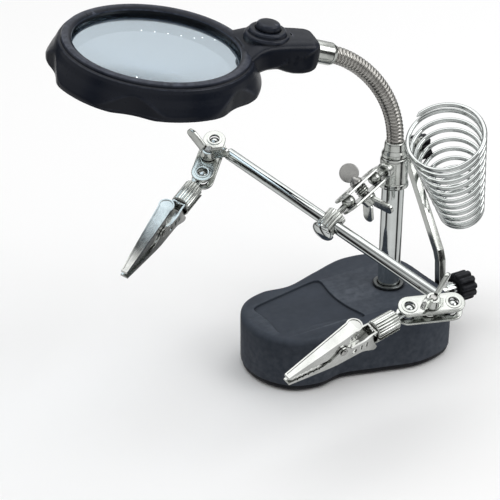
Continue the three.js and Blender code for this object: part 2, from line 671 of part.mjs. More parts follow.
// The ferrule leaves the handle's end, leaning down towards the gooseneck.
const FERRULE = frameAt(V(61, 0, -0.6), V(cos(0.19), 0, -sin(0.19)), UP).premultiply(HEAD);
const FERRULE_IN_HEAD = HEAD.clone().invert().multiply(FERRULE);
const FERRULE_END = 12;
const LENS_RADIUS = 33;
const RIM = { outer: 42, top: 1.6, bottom: -11 };
const HANDLE = { from: 30, to: 64, half: 9, top: 5.4, bottom: -6.6 };
const SCALLOPS = [52, 116, 180, 244, 308];

function headBlank() {
  const rim = turned([
    [0, RIM.bottom], [RIM.outer - 3.5, RIM.bottom], [RIM.outer - 0.6, RIM.bottom + 2.4],
    [RIM.outer, RIM.bottom + 5], [RIM.outer - 2.4, -1.6], [RIM.outer - 4.6, RIM.top - 1.4],
    [LENS_RADIUS + 2.6, RIM.top], [0, RIM.top],
  ], 32);
  const bevel = 2.4;
  const half = HANDLE.half - bevel;
  const end = HANDLE.to - bevel;
  const shape = new THREE.Shape();
  shape.moveTo(HANDLE.from, -half - 2);
  shape.quadraticCurveTo(42, -half, end - 6, -half);
  shape.quadraticCurveTo(end, -half, end, 0);
  shape.quadraticCurveTo(end, half, end - 6, half);
  shape.quadraticCurveTo(42, half, HANDLE.from, half + 2);
  const handle = solid(new THREE.ExtrudeGeometry(shape, {
    depth: HANDLE.top - HANDLE.bottom - 2 * bevel,
    bevelThickness: bevel,
    bevelSize: bevel,
    bevelSegments: 2,
    curveSegments: 6,
  }).translate(0, 0, HANDLE.bottom + bevel));
  const dips = SCALLOPS.map((degrees) => {
    const angle = THREE.MathUtils.degToRad(degrees);
    const reach = RIM.outer + 15.5;
    return shifted(rodZ(19, -30, -4, 20), reach * cos(angle), reach * sin(angle), 0);
  });
  return union(without(rim, ...dips), handle);
}

// The head parts at its mid height into an upper frame and a lower cover.
const PARTING = -6;
const SWITCH_AT = { x: 43.5, radius: 7.2, button: 5 };

function headFrame() {
  const bezel = shifted(turned([
    [0, 3], [SWITCH_AT.radius + 0.6, 3], [SWITCH_AT.radius + 0.6, 6.4], [SWITCH_AT.radius, 7.6],
    [0, 7.6],
  ], 32), SWITCH_AT.x, 0, 0);
  const lower = block(-80, 80, -60, 60, -30, PARTING);
  const lensWell = turned([
    [0, -30], [LENS_RADIUS + 3, -30], [LENS_RADIUS + 3, -3.4], [LENS_RADIUS + FIT, -3.4],
    [LENS_RADIUS + FIT, 0.2], [LENS_RADIUS - 0.8, 0.6], [LENS_RADIUS - 0.8, 10], [0, 10],
  ], 32);
  const switchWell = shifted(rodZ(SWITCH_AT.button + FIT, 1, 20, 28), SWITCH_AT.x, 0, 0);
  const ferruleHole = moved(rodX(4.9, -9, 20, 24), FERRULE_IN_HEAD);
  return without(union(headBlank(), bezel), lower, lensWell, switchWell, ferruleHole);
}

function headCover() {
  const upper = block(-80, 80, -60, 60, PARTING - 0.1, 30);
  return without(
    headBlank(),
    upper,
    rodZ(LENS_RADIUS - 1.5, -30, 0, 32),
    ringZ(LENS_RADIUS - 3, LENS_RADIUS + 3, PARTING - 2.6, 0, 32),
    moved(rodX(4.9, -9, 20, 24), FERRULE_IN_HEAD),
  );
}

function lens() {
  const rimHalf = 1;
  const bulge = 2.2;
  const steps = 4;
  const face = (side) => Array.from({ length: steps + 1 }, (_, i) => {
    const r = (LENS_RADIUS * (side > 0 ? steps - i : i)) / steps;
    return [r, side * (rimHalf + bulge * (1 - (r / LENS_RADIUS) ** 2))];
  });
  return shifted(turned([...face(-1), ...face(1)], 32), 0, 0, -2.2);
}

// The lamp board lies under the lens edge, its light-emitting diodes facing down to the work.
function lampRing() {
  const board = ringZ(LENS_RADIUS - 1, LENS_RADIUS + 2.6, -5.6, -4.6, 32);
  const count = 12;
  const circle = LENS_RADIUS + 0.8;
  const lamp = turned([[0, -7.2], [0.9, -6.9], [1.2, -6.2], [1.2, -5], [0, -5]], 5);
  const lamps = Array.from({ length: count }, (_, i) => {
    const angle = (2 * PI * (i + 0.5)) / count;
    return shifted(lamp, circle * cos(angle), circle * sin(angle), 0);
  });
  return union(board, ...lamps);
}

add('magnifier_frame', headFrame(), plastic(0x282d37, 0.4), HEAD);
add('magnifier_cover', headCover(), plastic(0x282d37, 0.45), HEAD);
add('magnifier_lens', lens(), new THREE.MeshStandardMaterial({
  color: 0xcddce6, roughness: 0.05, metalness: 0, transparent: true, opacity: 0.35,
}), HEAD);
add('lamp_ring', lampRing(), plastic(0xf2f4f0, 0.5), HEAD);
add('switch_button', shifted(turned([
  [0, 2.6], [SWITCH_AT.button, 2.6], [SWITCH_AT.button, 8.6],
  [SWITCH_AT.button - 1, 9.9], [2, 10.9], [0, 11.1],
], 28), SWITCH_AT.x, 0, 0), plastic(0x20242d, 0.35), HEAD);
add('neck_ferrule', aboutX(turned([
  [0, -7], [4.6, -7], [4.6, FERRULE_END - 1], [4.2, FERRULE_END], [0, FERRULE_END],
], 24)), metal(STEEL, 0.25), FERRULE);

// ---------------------------------------------------------------- gooseneck
// The neck rises straight from its socket and runs into the ferrule along the ferrule's axis.
const neckEnd = V(FERRULE_END + 0.1, 0, 0).applyMatrix4(FERRULE);
const neckStart = V(0, 0, SOCKET_TOP);
const endLean = V(1, 0, 0).transformDirection(FERRULE);
const NECK = new THREE.CubicBezierCurve3(
  neckStart,
  neckStart.clone().addScaledVector(UP, 21),
  neckEnd.clone().addScaledVector(endLean, 13),
  neckEnd,
);
const BENDS = [0.3, 0.68]; // where the two bending joints sit along the neck
const BEND_CLEAR = 3.9;

class NeckPiece extends THREE.Curve {
  constructor(from, to) {
    super();
    this.from = from;
    this.to = to;
  }

  getPoint(t, target = new THREE.Vector3()) {
    return target.copy(NECK.getPointAt(this.from + (this.to - this.from) * t));
  }
}

function neckPiece(from, to, ballEnd) {
  const round = new THREE.Shape().absarc(0, 0, NECK_RADIUS, 0, 2 * PI, false);
  const tube = solid(new THREE.ExtrudeGeometry(round, {
    extrudePath: new NeckPiece(from, to), steps: 6, curveSegments: 6, bevelEnabled: false,
  }));
  if (!ballEnd) return tube;
  const end = NECK.getPointAt(to);
  return union(tube, shifted(ball(NECK_RADIUS), end.x, end.y, end.z));
}

const neckLength = NECK.getLength();
const clear = BEND_CLEAR / neckLength;
add('neck_socket', without(turned([
  [0, COLLAR_HIGH + 0.3], [5.4, COLLAR_HIGH + 0.3], [5.4, COLLAR_HIGH + 1.8], [4.4, COLLAR_HIGH + 3.4],
  [4.4, SOCKET_TOP], [0, SOCKET_TOP],
], 28), rodZ(2.6, 60, 100, 16)), metal(CHROME, 0.2));
add('gooseneck_lower', neckPiece(0.004, BENDS[0], true), metal(STEEL, 0.35));
add('gooseneck_middle', neckPiece(BENDS[0] + clear, BENDS[1], true), metal(STEEL, 0.35));
add('gooseneck_upper', neckPiece(BENDS[1] + clear, 1, false), metal(STEEL, 0.35));

export default assembly;
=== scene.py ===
# Looks of the helping hands clamp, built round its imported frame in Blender 4.5.
# Shapes are drawn in millimetres in their own frames, which come from the frame's joints and boxes.
import json
from math import acos, atan2, ceil, copysign, cos, degrees, pi, radians, sin, sqrt

import bmesh
import bpy
from mathutils import Matrix, Vector
from mathutils.geometry import tessellate_polygon


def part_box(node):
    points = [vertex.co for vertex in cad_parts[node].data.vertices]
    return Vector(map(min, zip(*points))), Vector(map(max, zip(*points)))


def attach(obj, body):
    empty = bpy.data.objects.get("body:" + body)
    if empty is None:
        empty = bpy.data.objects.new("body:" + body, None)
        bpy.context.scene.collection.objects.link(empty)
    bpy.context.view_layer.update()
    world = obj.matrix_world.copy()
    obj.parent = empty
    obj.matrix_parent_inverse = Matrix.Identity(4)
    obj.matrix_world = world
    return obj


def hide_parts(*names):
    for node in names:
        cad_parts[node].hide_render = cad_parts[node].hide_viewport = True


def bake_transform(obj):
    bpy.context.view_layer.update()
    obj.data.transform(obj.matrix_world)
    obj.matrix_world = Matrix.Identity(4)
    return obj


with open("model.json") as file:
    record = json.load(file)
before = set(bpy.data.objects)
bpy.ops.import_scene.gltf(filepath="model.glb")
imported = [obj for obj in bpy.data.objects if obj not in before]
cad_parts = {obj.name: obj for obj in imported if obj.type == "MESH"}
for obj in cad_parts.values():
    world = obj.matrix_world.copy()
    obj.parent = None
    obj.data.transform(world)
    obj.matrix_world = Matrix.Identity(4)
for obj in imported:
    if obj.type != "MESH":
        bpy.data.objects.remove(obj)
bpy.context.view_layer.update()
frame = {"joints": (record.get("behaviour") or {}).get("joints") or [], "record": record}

MM = 0.001
UP = Vector((0, 0, 1))
FIT = 0.3  # gap between pieces that turn on each other
joints = {joint["name"]: joint for joint in frame["joints"]}
body_of_node = {
    node: body
    for body, nodes in frame["record"]["behaviour"]["bodies"].items()
    for node in nodes
}


def at(joint):
    """Where a joint is, in millimetres."""
    return Vector(joints[joint]["pos_m"]) / MM


def along(joint):
    """The direction of a joint's axis."""
    return Vector(joints[joint]["axis"]).normalized()


def box_mm(node):
    low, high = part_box(node)
    return low / MM, high / MM


def heights(node):
    """The lowest and the highest point of a CAD node."""
    return tuple(corner.z for corner in box_mm(node))


def level_with(direction, normal):
    """The part of a direction that lies across a normal."""
    return direction - normal * (direction.dot(normal) / normal.length_squared)


def frame_at(origin, x_axis, z_hint):
    """The frame at an origin whose X runs along x_axis and whose Z leans as near to z_hint as it can."""
    x = x_axis.normalized()
    y = z_hint.cross(x).normalized()
    z = x.cross(y)
    turn = Matrix((x, y, z)).transposed().to_4x4()
    return Matrix.Translation(origin) @ turn


# ---- shapes
class Shape:
    """A mesh in the making: points in millimetres and the faces over them."""

    def __init__(self, points=(), faces=()):
        self.points = [Vector(p) for p in points]
        self.faces = [tuple(f) for f in faces]

    def __add__(self, other):
        first = len(self.points)
        faces = self.faces + [tuple(i + first for i in face) for face in other.faces]
        return Shape(self.points + other.points, faces)

    def moved(self, matrix):
        return Shape([matrix @ p for p in self.points], self.faces)


def clean(shape):
    """The shape with touching points merged and its faces looking outwards."""
    build = bmesh.new()
    points = [build.verts.new(p) for p in shape.points]
    for face in shape.faces:
        build.faces.new([points[i] for i in face])
    bmesh.ops.remove_doubles(build, verts=build.verts, dist=1e-4)
    bmesh.ops.dissolve_degenerate(build, edges=build.edges, dist=1e-5)
    bmesh.ops.recalc_face_normals(build, faces=build.faces)
    build.verts.index_update()
    result = Shape([v.co.copy() for v in build.verts], [[v.index for v in f.verts] for f in build.faces])
    build.free()
    return result


def skin(rows, loop=False, caps=True):
    """Faces between neighbouring rings of points. loop joins the last ring to the first."""
    count = len(rows[0])
    points = [p for row in rows for p in row]
    faces = []
    spans = len(rows) if loop else len(rows) - 1
    for i in range(spans):
        here, there = i * count, ((i + 1) % len(rows)) * count
        for j in range(count):
            k = (j + 1) % count
            faces.append((here + j, here + k, there + k, there + j))
    if caps and not loop:
        last = (len(rows) - 1) * count
        faces.append(tuple(reversed(range(count))))
        faces.append(tuple(range(last, last + count)))
    return Shape(points, faces)


def ring(radius, z, sides):
    steps = [2 * pi * i / sides for i in range(sides)]
    return [Vector((radius * cos(t), radius * sin(t), z)) for t in steps]


def lathe(profile, sides=64, loop=False):
    """A profile of (radius, height) points turned about Z."""
    caps = not loop and min(profile[0][0], profile[-1][0]) > 0
    return clean(skin([ring(r, z, sides) for r, z in profile], loop, caps))


def bent(start, middle, end, t):
    """A point on the curve that leaves start towards middle and comes in to end."""
    return start * (1 - t) ** 2 + middle * 2 * t * (1 - t) + end * t ** 2


def fillet(points, radius, steps=3, closed=False):
    """A polyline with its corners rounded. A corner's own third number, if any, is its radius."""
    result = []
    last = len(points) - 1
    for i, point in enumerate(points):
        here = Vector(point[:2])
        reach = point[2] if len(point) > 2 else radius
        if (i in (0, last) and not closed) or reach == 0:
            result.append(tuple(here))
            continue
        before = Vector(points[i - 1][:2]) - here
        after = Vector(points[(i + 1) % len(points)][:2]) - here
        start = here + before * min(reach / before.length, 0.45)
        end = here + after * min(reach / after.length, 0.45)
        result += [tuple(bent(start, here, end, step / steps)) for step in range(steps + 1)]
    return result


def turned(points, edge, sides=64, closed=False):
    """A profile with rounded corners, turned about Z. A closed profile leaves its middle open."""
    return lathe(fillet(points, edge, closed=closed), sides, loop=closed)


def arc(x, y, radius, start, end, steps=16):
    """Points on a round stretch, from one angle to another in degrees."""
    turns = [radians(start + (end - start) * i / steps) for i in range(steps + 1)]
    return [(x + radius * cos(t), y + radius * sin(t)) for t in turns]


def circle(x, y, radius, steps=32):
    return arc(x, y, radius, 0, 360 - 360 / steps, steps - 1)


def anticlockwise(outline):
    pairs = zip(outline, outline[1:] + outline[:1])
    area = sum(x0 * y1 - x1 * y0 for (x0, y0), (x1, y1) in pairs)
    return outline if area > 0 else outline[::-1]


def inset(outline, distance):
    """An anticlockwise outline drawn inwards by a distance."""
    result = []
    for i, point in enumerate(outline):
        here = Vector(point)
        before = (here - Vector(outline[i - 1])).normalized()
        after = (Vector(outline[(i + 1) % len(outline)]) - here).normalized()
        inward = Vector((-before.y - after.y, before.x + after.x))
        scale = 2 * distance / max(inward.length_squared, 0.5)
        result.append(tuple(here + inward * scale))
    return result


def stack(outline, levels, holes=()):
    """Walls that follow an outline through levels of (inset, height), closed by flat caps."""
    loops = [(anticlockwise(outline), 1)] + [(anticlockwise(hole), -1) for hole in holes]
    rings = [
        [[Vector((x, y, z)) for x, y in inset(loop, sign * by)] for by, z in levels]
        for loop, sign in loops
    ]
    shape = Shape()
    for rows in rings:
        shape += skin(rows, caps=False)
    for level in (0, -1):
        edges = [rows[level] for rows in rings]
        flat = [[Vector((p.x, p.y, 0)) for p in edge] for edge in edges]
        shape += Shape([p for edge in edges for p in edge], tessellate_polygon(flat))
    return clean(shape)


def prism(outline, low, high, edge=0.0, holes=(), steps=3):
    """A flat plate between two heights, its edges rounded by a radius."""
    turns = [radians(90 * i / steps) for i in range(steps + 1)] if edge else [pi / 2]
    levels = [(edge * (1 - sin(t)), low + edge * (1 - cos(t))) for t in turns]
    levels += [(by, high + low - z) for by, z in reversed(levels)]
    return stack(outline, levels, holes)


def wavy_circle(radius, depth, lobes, power, steps):
    """A round outline with a groove between each two lobes, steps points to a lobe."""
    outline = []
    for i in range(lobes * steps):
        angle = 2 * pi * i / (lobes * steps)
        reach = radius - depth * abs(sin(lobes * angle / 2)) ** power
        outline.append((reach * cos(angle), reach * sin(angle)))
    return outline


def parallel_frames(path):
    """A normal and a binormal at each point of a path, turning as little as they can."""
    frames = []
    last = len(path) - 1
    tangents = [(path[min(i + 1, last)] - path[max(i - 1, 0)]).normalized() for i in range(last + 1)]
    normal = tangents[0].orthogonal().normalized()
    for i, tangent in enumerate(tangents):
        if i:
            normal = tangents[i - 1].rotation_difference(tangent) @ normal
        normal = (normal - tangent * normal.dot(tangent)).normalized()
        frames.append((normal, tangent.cross(normal)))
    return frames


def rings_round(path, frames, radius, sides, first=0):
    """A ring of points round each point of a path. radius(i, angle) is its reach at point i."""
    angles = [2 * pi * j / sides for j in range(sides)]
    return [
        [here + (normal * cos(a) + binormal * sin(a)) * radius(i, a) for a in angles]
        for i, (here, (normal, binormal)) in enumerate(zip(path, frames), first)
    ]


def sweep(path, radius, sides=16):
    """A tube along a path."""
    return clean(skin(rings_round(path, parallel_frames(path), radius, sides)))


def round_ended(path, wire):
    """A radius function for a wire whose two ends are rounded off."""
    def radius(i, _angle):
        to_end = min((path[i] - path[0]).length, (path[i] - path[-1]).length)
        near = min(i, len(path) - 1 - i)
        if near > 6 or to_end >= wire:
            return wire
        return max(wire * sqrt(1 - (1 - to_end / wire) ** 2), 0.25 * wire)
    return radius


TIP = Matrix.Rotation(pi / 2, 4, "Y")  # turns +Z onto +X
SIDE = Matrix.Rotation(pi / 2, 4, "X")  # turns +Y onto +Z, so outlines drawn flat stand up


def along_x(shape):
    return shape.moved(TIP)


def cross_hole(radius, x, z, half=6, sides=32):
    """A rod across a piece, for cutting a hole."""
    return shifted(rod_z(radius, -half, half, sides).moved(SIDE), x, 0, z)


def side_plate(outline, half, edge=0.0, holes=()):
    """An outline drawn with x forward and y as height, spread to both sides."""
    return prism(outline, -half, half, edge, holes).moved(SIDE)


def shifted(shape, x, y, z):
    return shape.moved(Matrix.Translation((x, y, z)))


def spun(shape, angle):
    return shape.moved(Matrix.Rotation(angle, 4, "Z"))


def linked(name, data):
    """A new object over its data, put into the scene."""
    made = bpy.data.objects.new(name, data)
    bpy.context.scene.collection.objects.link(made)
    return made


def meshed(name, points, faces):
    mesh = bpy.data.meshes.new(name)
    mesh.from_pydata(points, [], faces)
    return linked(name, mesh)


def combined(operation, first, others):
    """The result of boolean steps on scratch objects, which are removed again."""
    host, *tools = [meshed("scratch", shape.points, shape.faces) for shape in (first, *others)]
    for tool in tools:
        step = host.modifiers.new("step", "BOOLEAN")
        step.operation = operation
        step.solver = "MANIFOLD"
        step.object = tool
    bpy.context.view_layer.update()
    done = host.evaluated_get(bpy.context.evaluated_depsgraph_get()).to_mesh()
    shape = Shape([v.co.copy() for v in done.vertices], [list(f.vertices) for f in done.polygons])
    for used in (host, *tools):
        bpy.data.meshes.remove(used.data)
    if not shape.faces:
        raise RuntimeError("a boolean step left nothing")
    return shape


def union(first, *others):
    return combined("UNION", first, others)


def without(first, *others):
    return combined("DIFFERENCE", first, others)


def common(first, *others):
    return combined("INTERSECT", first, others)


def block(x0, x1, y0, y1, z0, z1):
    return prism([(x0, y0), (x1, y0), (x1, y1), (x0, y1)], z0, z1)


def rod_z(radius, low, high, sides=48, edge=0.0):
    profile = [(0, low), (radius, low), (radius, high), (0, high)]
    return lathe(fillet(profile, edge) if edge else profile, sides)


def dome(radius, base, rise):
    """The profile of a dome that hangs under a height, from its tip out to its rim."""
    turns = [radians(15 * i) for i in range(7)]
    return [(radius * sin(t), base - rise * cos(t)) for t in turns]


def closed_curve(knots, steps):
    """A smooth closed outline through its knots (centripetal Catmull-Rom)."""
    count = len(knots)
    result = []
    for i in range(count):
        p0, p1, p2, p3 = (Vector(knots[(i + k) % count]) for k in (-1, 0, 1, 2))
        d0, d1, d2 = (sqrt((b - a).length) for a, b in ((p0, p1), (p1, p2), (p2, p3)))
        lead = ((p1 - p0) / d0 - (p2 - p0) / (d0 + d1) + (p2 - p1) / d1) * d1
        tail = ((p2 - p1) / d1 - (p3 - p1) / (d1 + d2) + (p3 - p2) / d2) * d1
        for step in range(steps):
            t = step / steps
            result.append(tuple(
                p1 * (2 * t ** 3 - 3 * t ** 2 + 1) + lead * (t ** 3 - 2 * t ** 2 + t)
                + p2 * (3 * t ** 2 - 2 * t ** 3) + tail * (t ** 3 - t ** 2)
            ))
    return result


# ---- node trees
class Nodes:
    """A small helper over one node tree."""

    def __init__(self, tree):
        self.tree = tree
        tree.nodes.clear()

    def node(self, kind, **settings):
        made = self.tree.nodes.new(kind)
        for key, value in settings.items():
            setattr(made, key, value)
        return made

    def join(self, source, target):
        self.tree.links.new(source, target)

    def feed(self, node, inputs):
        """Links or plain values for a node's inputs, by name or number."""
        for key, value in inputs.items():
            if isinstance(value, bpy.types.NodeSocket):
                self.join(value, node.inputs[key])
            else:
                node.inputs[key].default_value = value

    def use(self, kind, inputs, output=0, **settings):
        """What comes out of a new node fed with its inputs."""
        made = self.node(kind, **settings)
        self.feed(made, inputs)
        return made.outputs[output]

    def math(self, operation, first, second=0.0):
        return self.use("ShaderNodeMath", {0: first, 1: second}, operation=operation)

    def plus(self, first, second):
        return self.math("ADD", first, second)

    def minus(self, first, second):
        return self.math("SUBTRACT", first, second)

    def times(self, first, second):
        return self.math("MULTIPLY", first, second)

    def larger(self, first, second):
        return self.math("MAXIMUM", first, second)

    def split(self, vector):
        made = self.node("ShaderNodeSeparateXYZ")
        self.join(vector, made.inputs[0])
        return made.outputs

    def spread(self, value, low, high, from_low=0.3, from_high=0.7):
        """The value carried from one range to another."""
        return self.use("ShaderNodeMapRange", {0: value, 1: from_low, 2: from_high, 3: low, 4: high})

    def blend(self, factor, first, second):
        """One colour that turns into another. A plain colour is a tuple of three."""
        first, second = ((*c, 1) if isinstance(c, tuple) else c for c in (first, second))
        return self.use("ShaderNodeMix", {0: factor, 6: first, 7: second}, 2, data_type="RGBA")

    def mixed(self, share, first, second):
        """One shader that turns into another."""
        return self.use("ShaderNodeMixShader", {0: share, 1: first, 2: second})

    def ramp(self, value, stops):
        """Grey tones by place, given as (place, tone) stops."""
        made = self.node("ShaderNodeValToRGB")
        points = made.color_ramp.elements
        while len(points) < len(stops):
            points.new(0.5)
        for point, (place, tone) in zip(points, stops):
            point.position = place
            point.color = (tone, tone, tone, 1)
        self.join(value, made.inputs[0])
        return made.outputs[0]


# ---- finishes
CREASE_SHADE = 0.15  # how dark painted shade makes plastic in a crease, as a share of its colour
CREVICE_SHADE = 0.12  # the same painted shade for plated metal
HIGHLIGHT_FROM, HIGHLIGHT_TO = 0.506, 0.54  # the pointiness over which an edge gets the painted highlight


class Finish(Nodes):
    """A material with a Principled shader, its textures drawn in a piece's own millimetres."""

    def __init__(self, name, slot):
        self.slot = slot
        self.material = bpy.data.materials.new(name)
        self.material.use_nodes = True
        super().__init__(self.material.node_tree)
        self.output = self.node("ShaderNodeOutputMaterial")
        self.shader = self.node("ShaderNodeBsdfPrincipled")
        self.join(self.shader.outputs[0], self.output.inputs[0])
        self.own = self.node("ShaderNodeAttribute", attribute_name="own_mm").outputs["Vector"]

    def noise(self, size, detail=4.0):
        """Noise whose blobs are about size millimetres across."""
        inputs = {"Vector": self.own, "Scale": 1 / size, "Detail": detail}
        return self.use("ShaderNodeTexNoise", inputs, "Fac")

    def cloud(self, size, detail=4.0, low=0.0, high=1.0):
        """Noise spread over a wider range."""
        return self.spread(self.noise(size, detail), low, high)

    def painted_shade(self, reach, low, high):
        """Painted shade in narrow places: 0 in a crevice, 1 in the open."""
        air = self.use("ShaderNodeAmbientOcclusion", {"Distance": reach * MM}, "AO", samples=4)
        return self.spread(air, 0.0, 1.0, low, high)

    def edge_highlight(self):
        """1 along sharp outer edges, where the painted highlight goes, 0 elsewhere."""
        point = self.node("ShaderNodeNewGeometry").outputs["Pointiness"]
        return self.spread(point, 0.0, 1.0, HIGHLIGHT_FROM, HIGHLIGHT_TO)

    def bump(self, height, strength, distance):
        inputs = {"Strength": strength, "Distance": distance * MM, "Height": height}
        self.join(self.use("ShaderNodeBump", inputs), self.shader.inputs["Normal"])


def toned(colour, share):
    return tuple(share * c for c in colour)


def plated(name, slot, light, dark, rough, grain, crevice=2.5, pits=0.06):
    """Bright plating over pressed or turned metal: cloudy tone, faint pits and painted shade in its crevices.
    """
    finish = Finish(name, slot)
    tone = finish.blend(finish.cloud(6.0, 3.0), light, dark)
    # The base colour darkens in crevices: painted shade.
    finish.feed(finish.shader, {
        "Base Color": finish.blend(finish.painted_shade(crevice, 0.15, 0.75), toned(dark, CREVICE_SHADE), tone),
        "Metallic": 1.0,
        "Roughness": finish.cloud(1.6, 5.0, *rough),
    })
    finish.bump(finish.noise(grain), pits, 0.04)
    return finish


def moulded(name, colour, highlight_colour, rough, grain, strength=0.25, coat=0.0):
    """Moulded plastic: a fine sparked grain, a slight cloud in the tone, a painted highlight on sharp edges
    and painted shade in creases.
    """
    finish = Finish(name, name)
    tone = finish.blend(finish.cloud(14.0), toned(colour, 0.88), toned(colour, 1.08))
    # Paler sharp edges, broken up by noise: a painted highlight.
    edge = finish.times(finish.edge_highlight(), finish.cloud(2.5, 4.0, 0.2, 0.9))
    highlit = finish.blend(edge, tone, highlight_colour)
    # The base colour darkens in creases: painted shade.
    finish.feed(finish.shader, {
        "Base Color": finish.blend(finish.painted_shade(1.6, 0.5, 0.92), toned(colour, CREASE_SHADE), highlit),
        "Roughness": finish.cloud(3.0, 5.0, *rough),
        "Specular IOR Level": 0.12,
        "Coat Weight": coat,
        "Coat Roughness": 0.25,
    })
    finish.bump(finish.noise(grain, 3.0), strength, 0.06)
    return finish


CHROME = plated("chrome_plate", "chrome", (0.70, 0.73, 0.72), (0.61, 0.64, 0.63), (0.05, 0.12), 0.8)
NICKEL = plated("nickel_plate", "chrome", (0.66, 0.68, 0.65), (0.54, 0.56, 0.53), (0.12, 0.24), 0.5)
STEEL = plated("plain_steel", "steel", (0.52, 0.52, 0.50), (0.40, 0.40, 0.39), (0.22, 0.36), 0.35)
NECK_STEEL = plated("neck_steel", "steel", (0.52, 0.51, 0.48), (0.38, 0.37, 0.35), (0.14, 0.26), 0.5, 0.9)
PRESSED = plated("pressed_sheet", "chrome", (0.62, 0.63, 0.61), (0.50, 0.51, 0.49), (0.14, 0.24), 0.6,
                 crevice=1.8, pits=0.03)
SHADED = plated("shaded_ring", "chrome", (0.20, 0.21, 0.21), (0.13, 0.14, 0.14), (0.25, 0.4), 0.4)
SLATE = moulded("slate_plastic", (0.050, 0.060, 0.078), (0.11, 0.125, 0.15), (0.42, 0.56), 0.28, 0.35)
BLACK = moulded("black_plastic", (0.012, 0.013, 0.016), (0.06, 0.062, 0.07), (0.34, 0.48), 0.25)
HEAD_PLASTIC = moulded("head_plastic", (0.0085, 0.0115, 0.020), (0.075, 0.085, 0.115), (0.26, 0.38), 0.3,
                       0.12, coat=0.2)
RUBBER = moulded("pad_rubber", (0.010, 0.010, 0.010), (0.03, 0.03, 0.03), (0.75, 0.9), 0.5, 0.6)
CAST_IRON = moulded("cast_iron", (0.09, 0.085, 0.08), (0.16, 0.15, 0.14), (0.6, 0.8), 0.9, 0.8)
LAMP_WHITE = moulded("lamp_white", (0.82, 0.83, 0.80), (0.95, 0.95, 0.95), (0.2, 0.35), 0.6, 0.1)


def cell_jacket():
    """The film round a battery cell, with a coloured band at its plus end."""
    finish = Finish("cell_jacket", "cell_jacket")
    band = finish.math("GREATER_THAN", finish.split(finish.own)["Z"], 34.0)
    tone = finish.blend(finish.cloud(5.0), (0.05, 0.07, 0.10), (0.07, 0.09, 0.13))
    finish.feed(finish.shader, {
        "Base Color": finish.blend(band, tone, (0.55, 0.42, 0.22)),
        "Roughness": finish.cloud(2.0, 4.0, 0.25, 0.4),
        "Metallic": 0.4,
    })
    finish.bump(finish.noise(0.7), 0.1, 0.1)
    return finish


CELL = cell_jacket()

# Glints of the lamp ring in the lens: (first glint, last glint, how many), in the head's millimetres.
GLINT_ROWS = [
    ((-2.6, 13.6), (17.0, 7.6), 5),
    ((20.6, 8.6), (25.4, 7.6), 2),
    ((-21.0, -20.6), (-6.4, -28.0), 3),
]
GLINT_RADIUS = 0.42
LENS_TOP_FROM = -1.9  # glints lie on the lens's top only, which is above this height


def glints(finish):
    """1 on a glint and 0 elsewhere."""
    own_x, own_y, own_z = finish.split(finish.own)
    glow = 0.0
    for start, end, count in GLINT_ROWS:
        run = Vector(end) - Vector(start)
        pitch = run.length / (count - 1)
        step = run.normalized()
        x = finish.minus(own_x, start[0])
        y = finish.minus(own_y, start[1])
        forward = finish.plus(finish.times(x, step.x), finish.times(y, step.y))
        aside = finish.minus(finish.times(y, step.x), finish.times(x, step.y))
        place = finish.math("ROUND", finish.math("DIVIDE", forward, pitch))
        place = finish.larger(finish.math("MINIMUM", place, count - 1.0), 0.0)
        off = finish.minus(forward, finish.times(place, pitch))
        far = finish.math("SQRT", finish.plus(finish.times(off, off), finish.times(aside, aside)))
        glow = finish.larger(glow, finish.spread(far, 1.0, 0.0, 0.5 * GLINT_RADIUS, GLINT_RADIUS))
    return finish.times(glow, finish.math("GREATER_THAN", own_z, LENS_TOP_FROM))


def lens_glass():
    """Pale clear glass that lets the light through to the floor, with the lamps' glints in it."""
    finish = Finish("lens_glass", "lens_glass")
    glow = glints(finish)
    finish.feed(finish.shader, {
        "Base Color": finish.blend(finish.cloud(30.0, 1.0), (0.60, 0.70, 0.78), (0.66, 0.75, 0.82)),
        "Roughness": finish.cloud(9.0, 4.0, 0.0, 0.012),
        "Transmission Weight": 1.0,
        "IOR": 1.12,
        "Emission Color": (0.95, 0.99, 1.0, 1.0),
        "Emission Strength": finish.times(glow, 2.5),
    })
    sheen = finish.use("ShaderNodeBsdfGlossy", {"Color": (0.77, 0.88, 0.96, 1), "Roughness": 0.08})
    facing = finish.node("ShaderNodeLayerWeight").outputs["Facing"]
    glance = finish.times(finish.spread(facing, 0.0, 0.85, 0.3, 0.52), finish.minus(1.0, glow))
    surface = finish.mixed(glance, finish.shader.outputs[0], sheen)
    clear = finish.use("ShaderNodeBsdfTransparent", {0: (0.90, 0.94, 0.96, 1)})
    shadow = finish.node("ShaderNodeLightPath").outputs["Is Shadow Ray"]
    finish.join(finish.mixed(shadow, surface, clear), finish.output.inputs[0])
    return finish


GLASS = lens_glass()


# ---- pieces
def make(name, shape, place, finish, sharp):
    """A Blender object in the row frame from a shape in its own frame."""
    made = meshed(name, [(place @ p) * MM for p in shape.points], shape.faces)
    mesh = made.data
    own = mesh.attributes.new("own_mm", "FLOAT_VECTOR", "POINT")
    own.data.foreach_set("vector", [c for p in shape.points for c in p])
    mesh.shade_smooth()
    mesh.set_sharp_from_angle(angle=radians(sharp))
    mesh.materials.append(finish.material)
    return made


def dress(node, shape, place, finish, sharp=32):
    """A piece that stands for one CAD node and rides on its body."""
    made = make(f"{node}_skin", clean(shape), place, finish, sharp)
    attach(made, body_of_node[node])
    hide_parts(node)


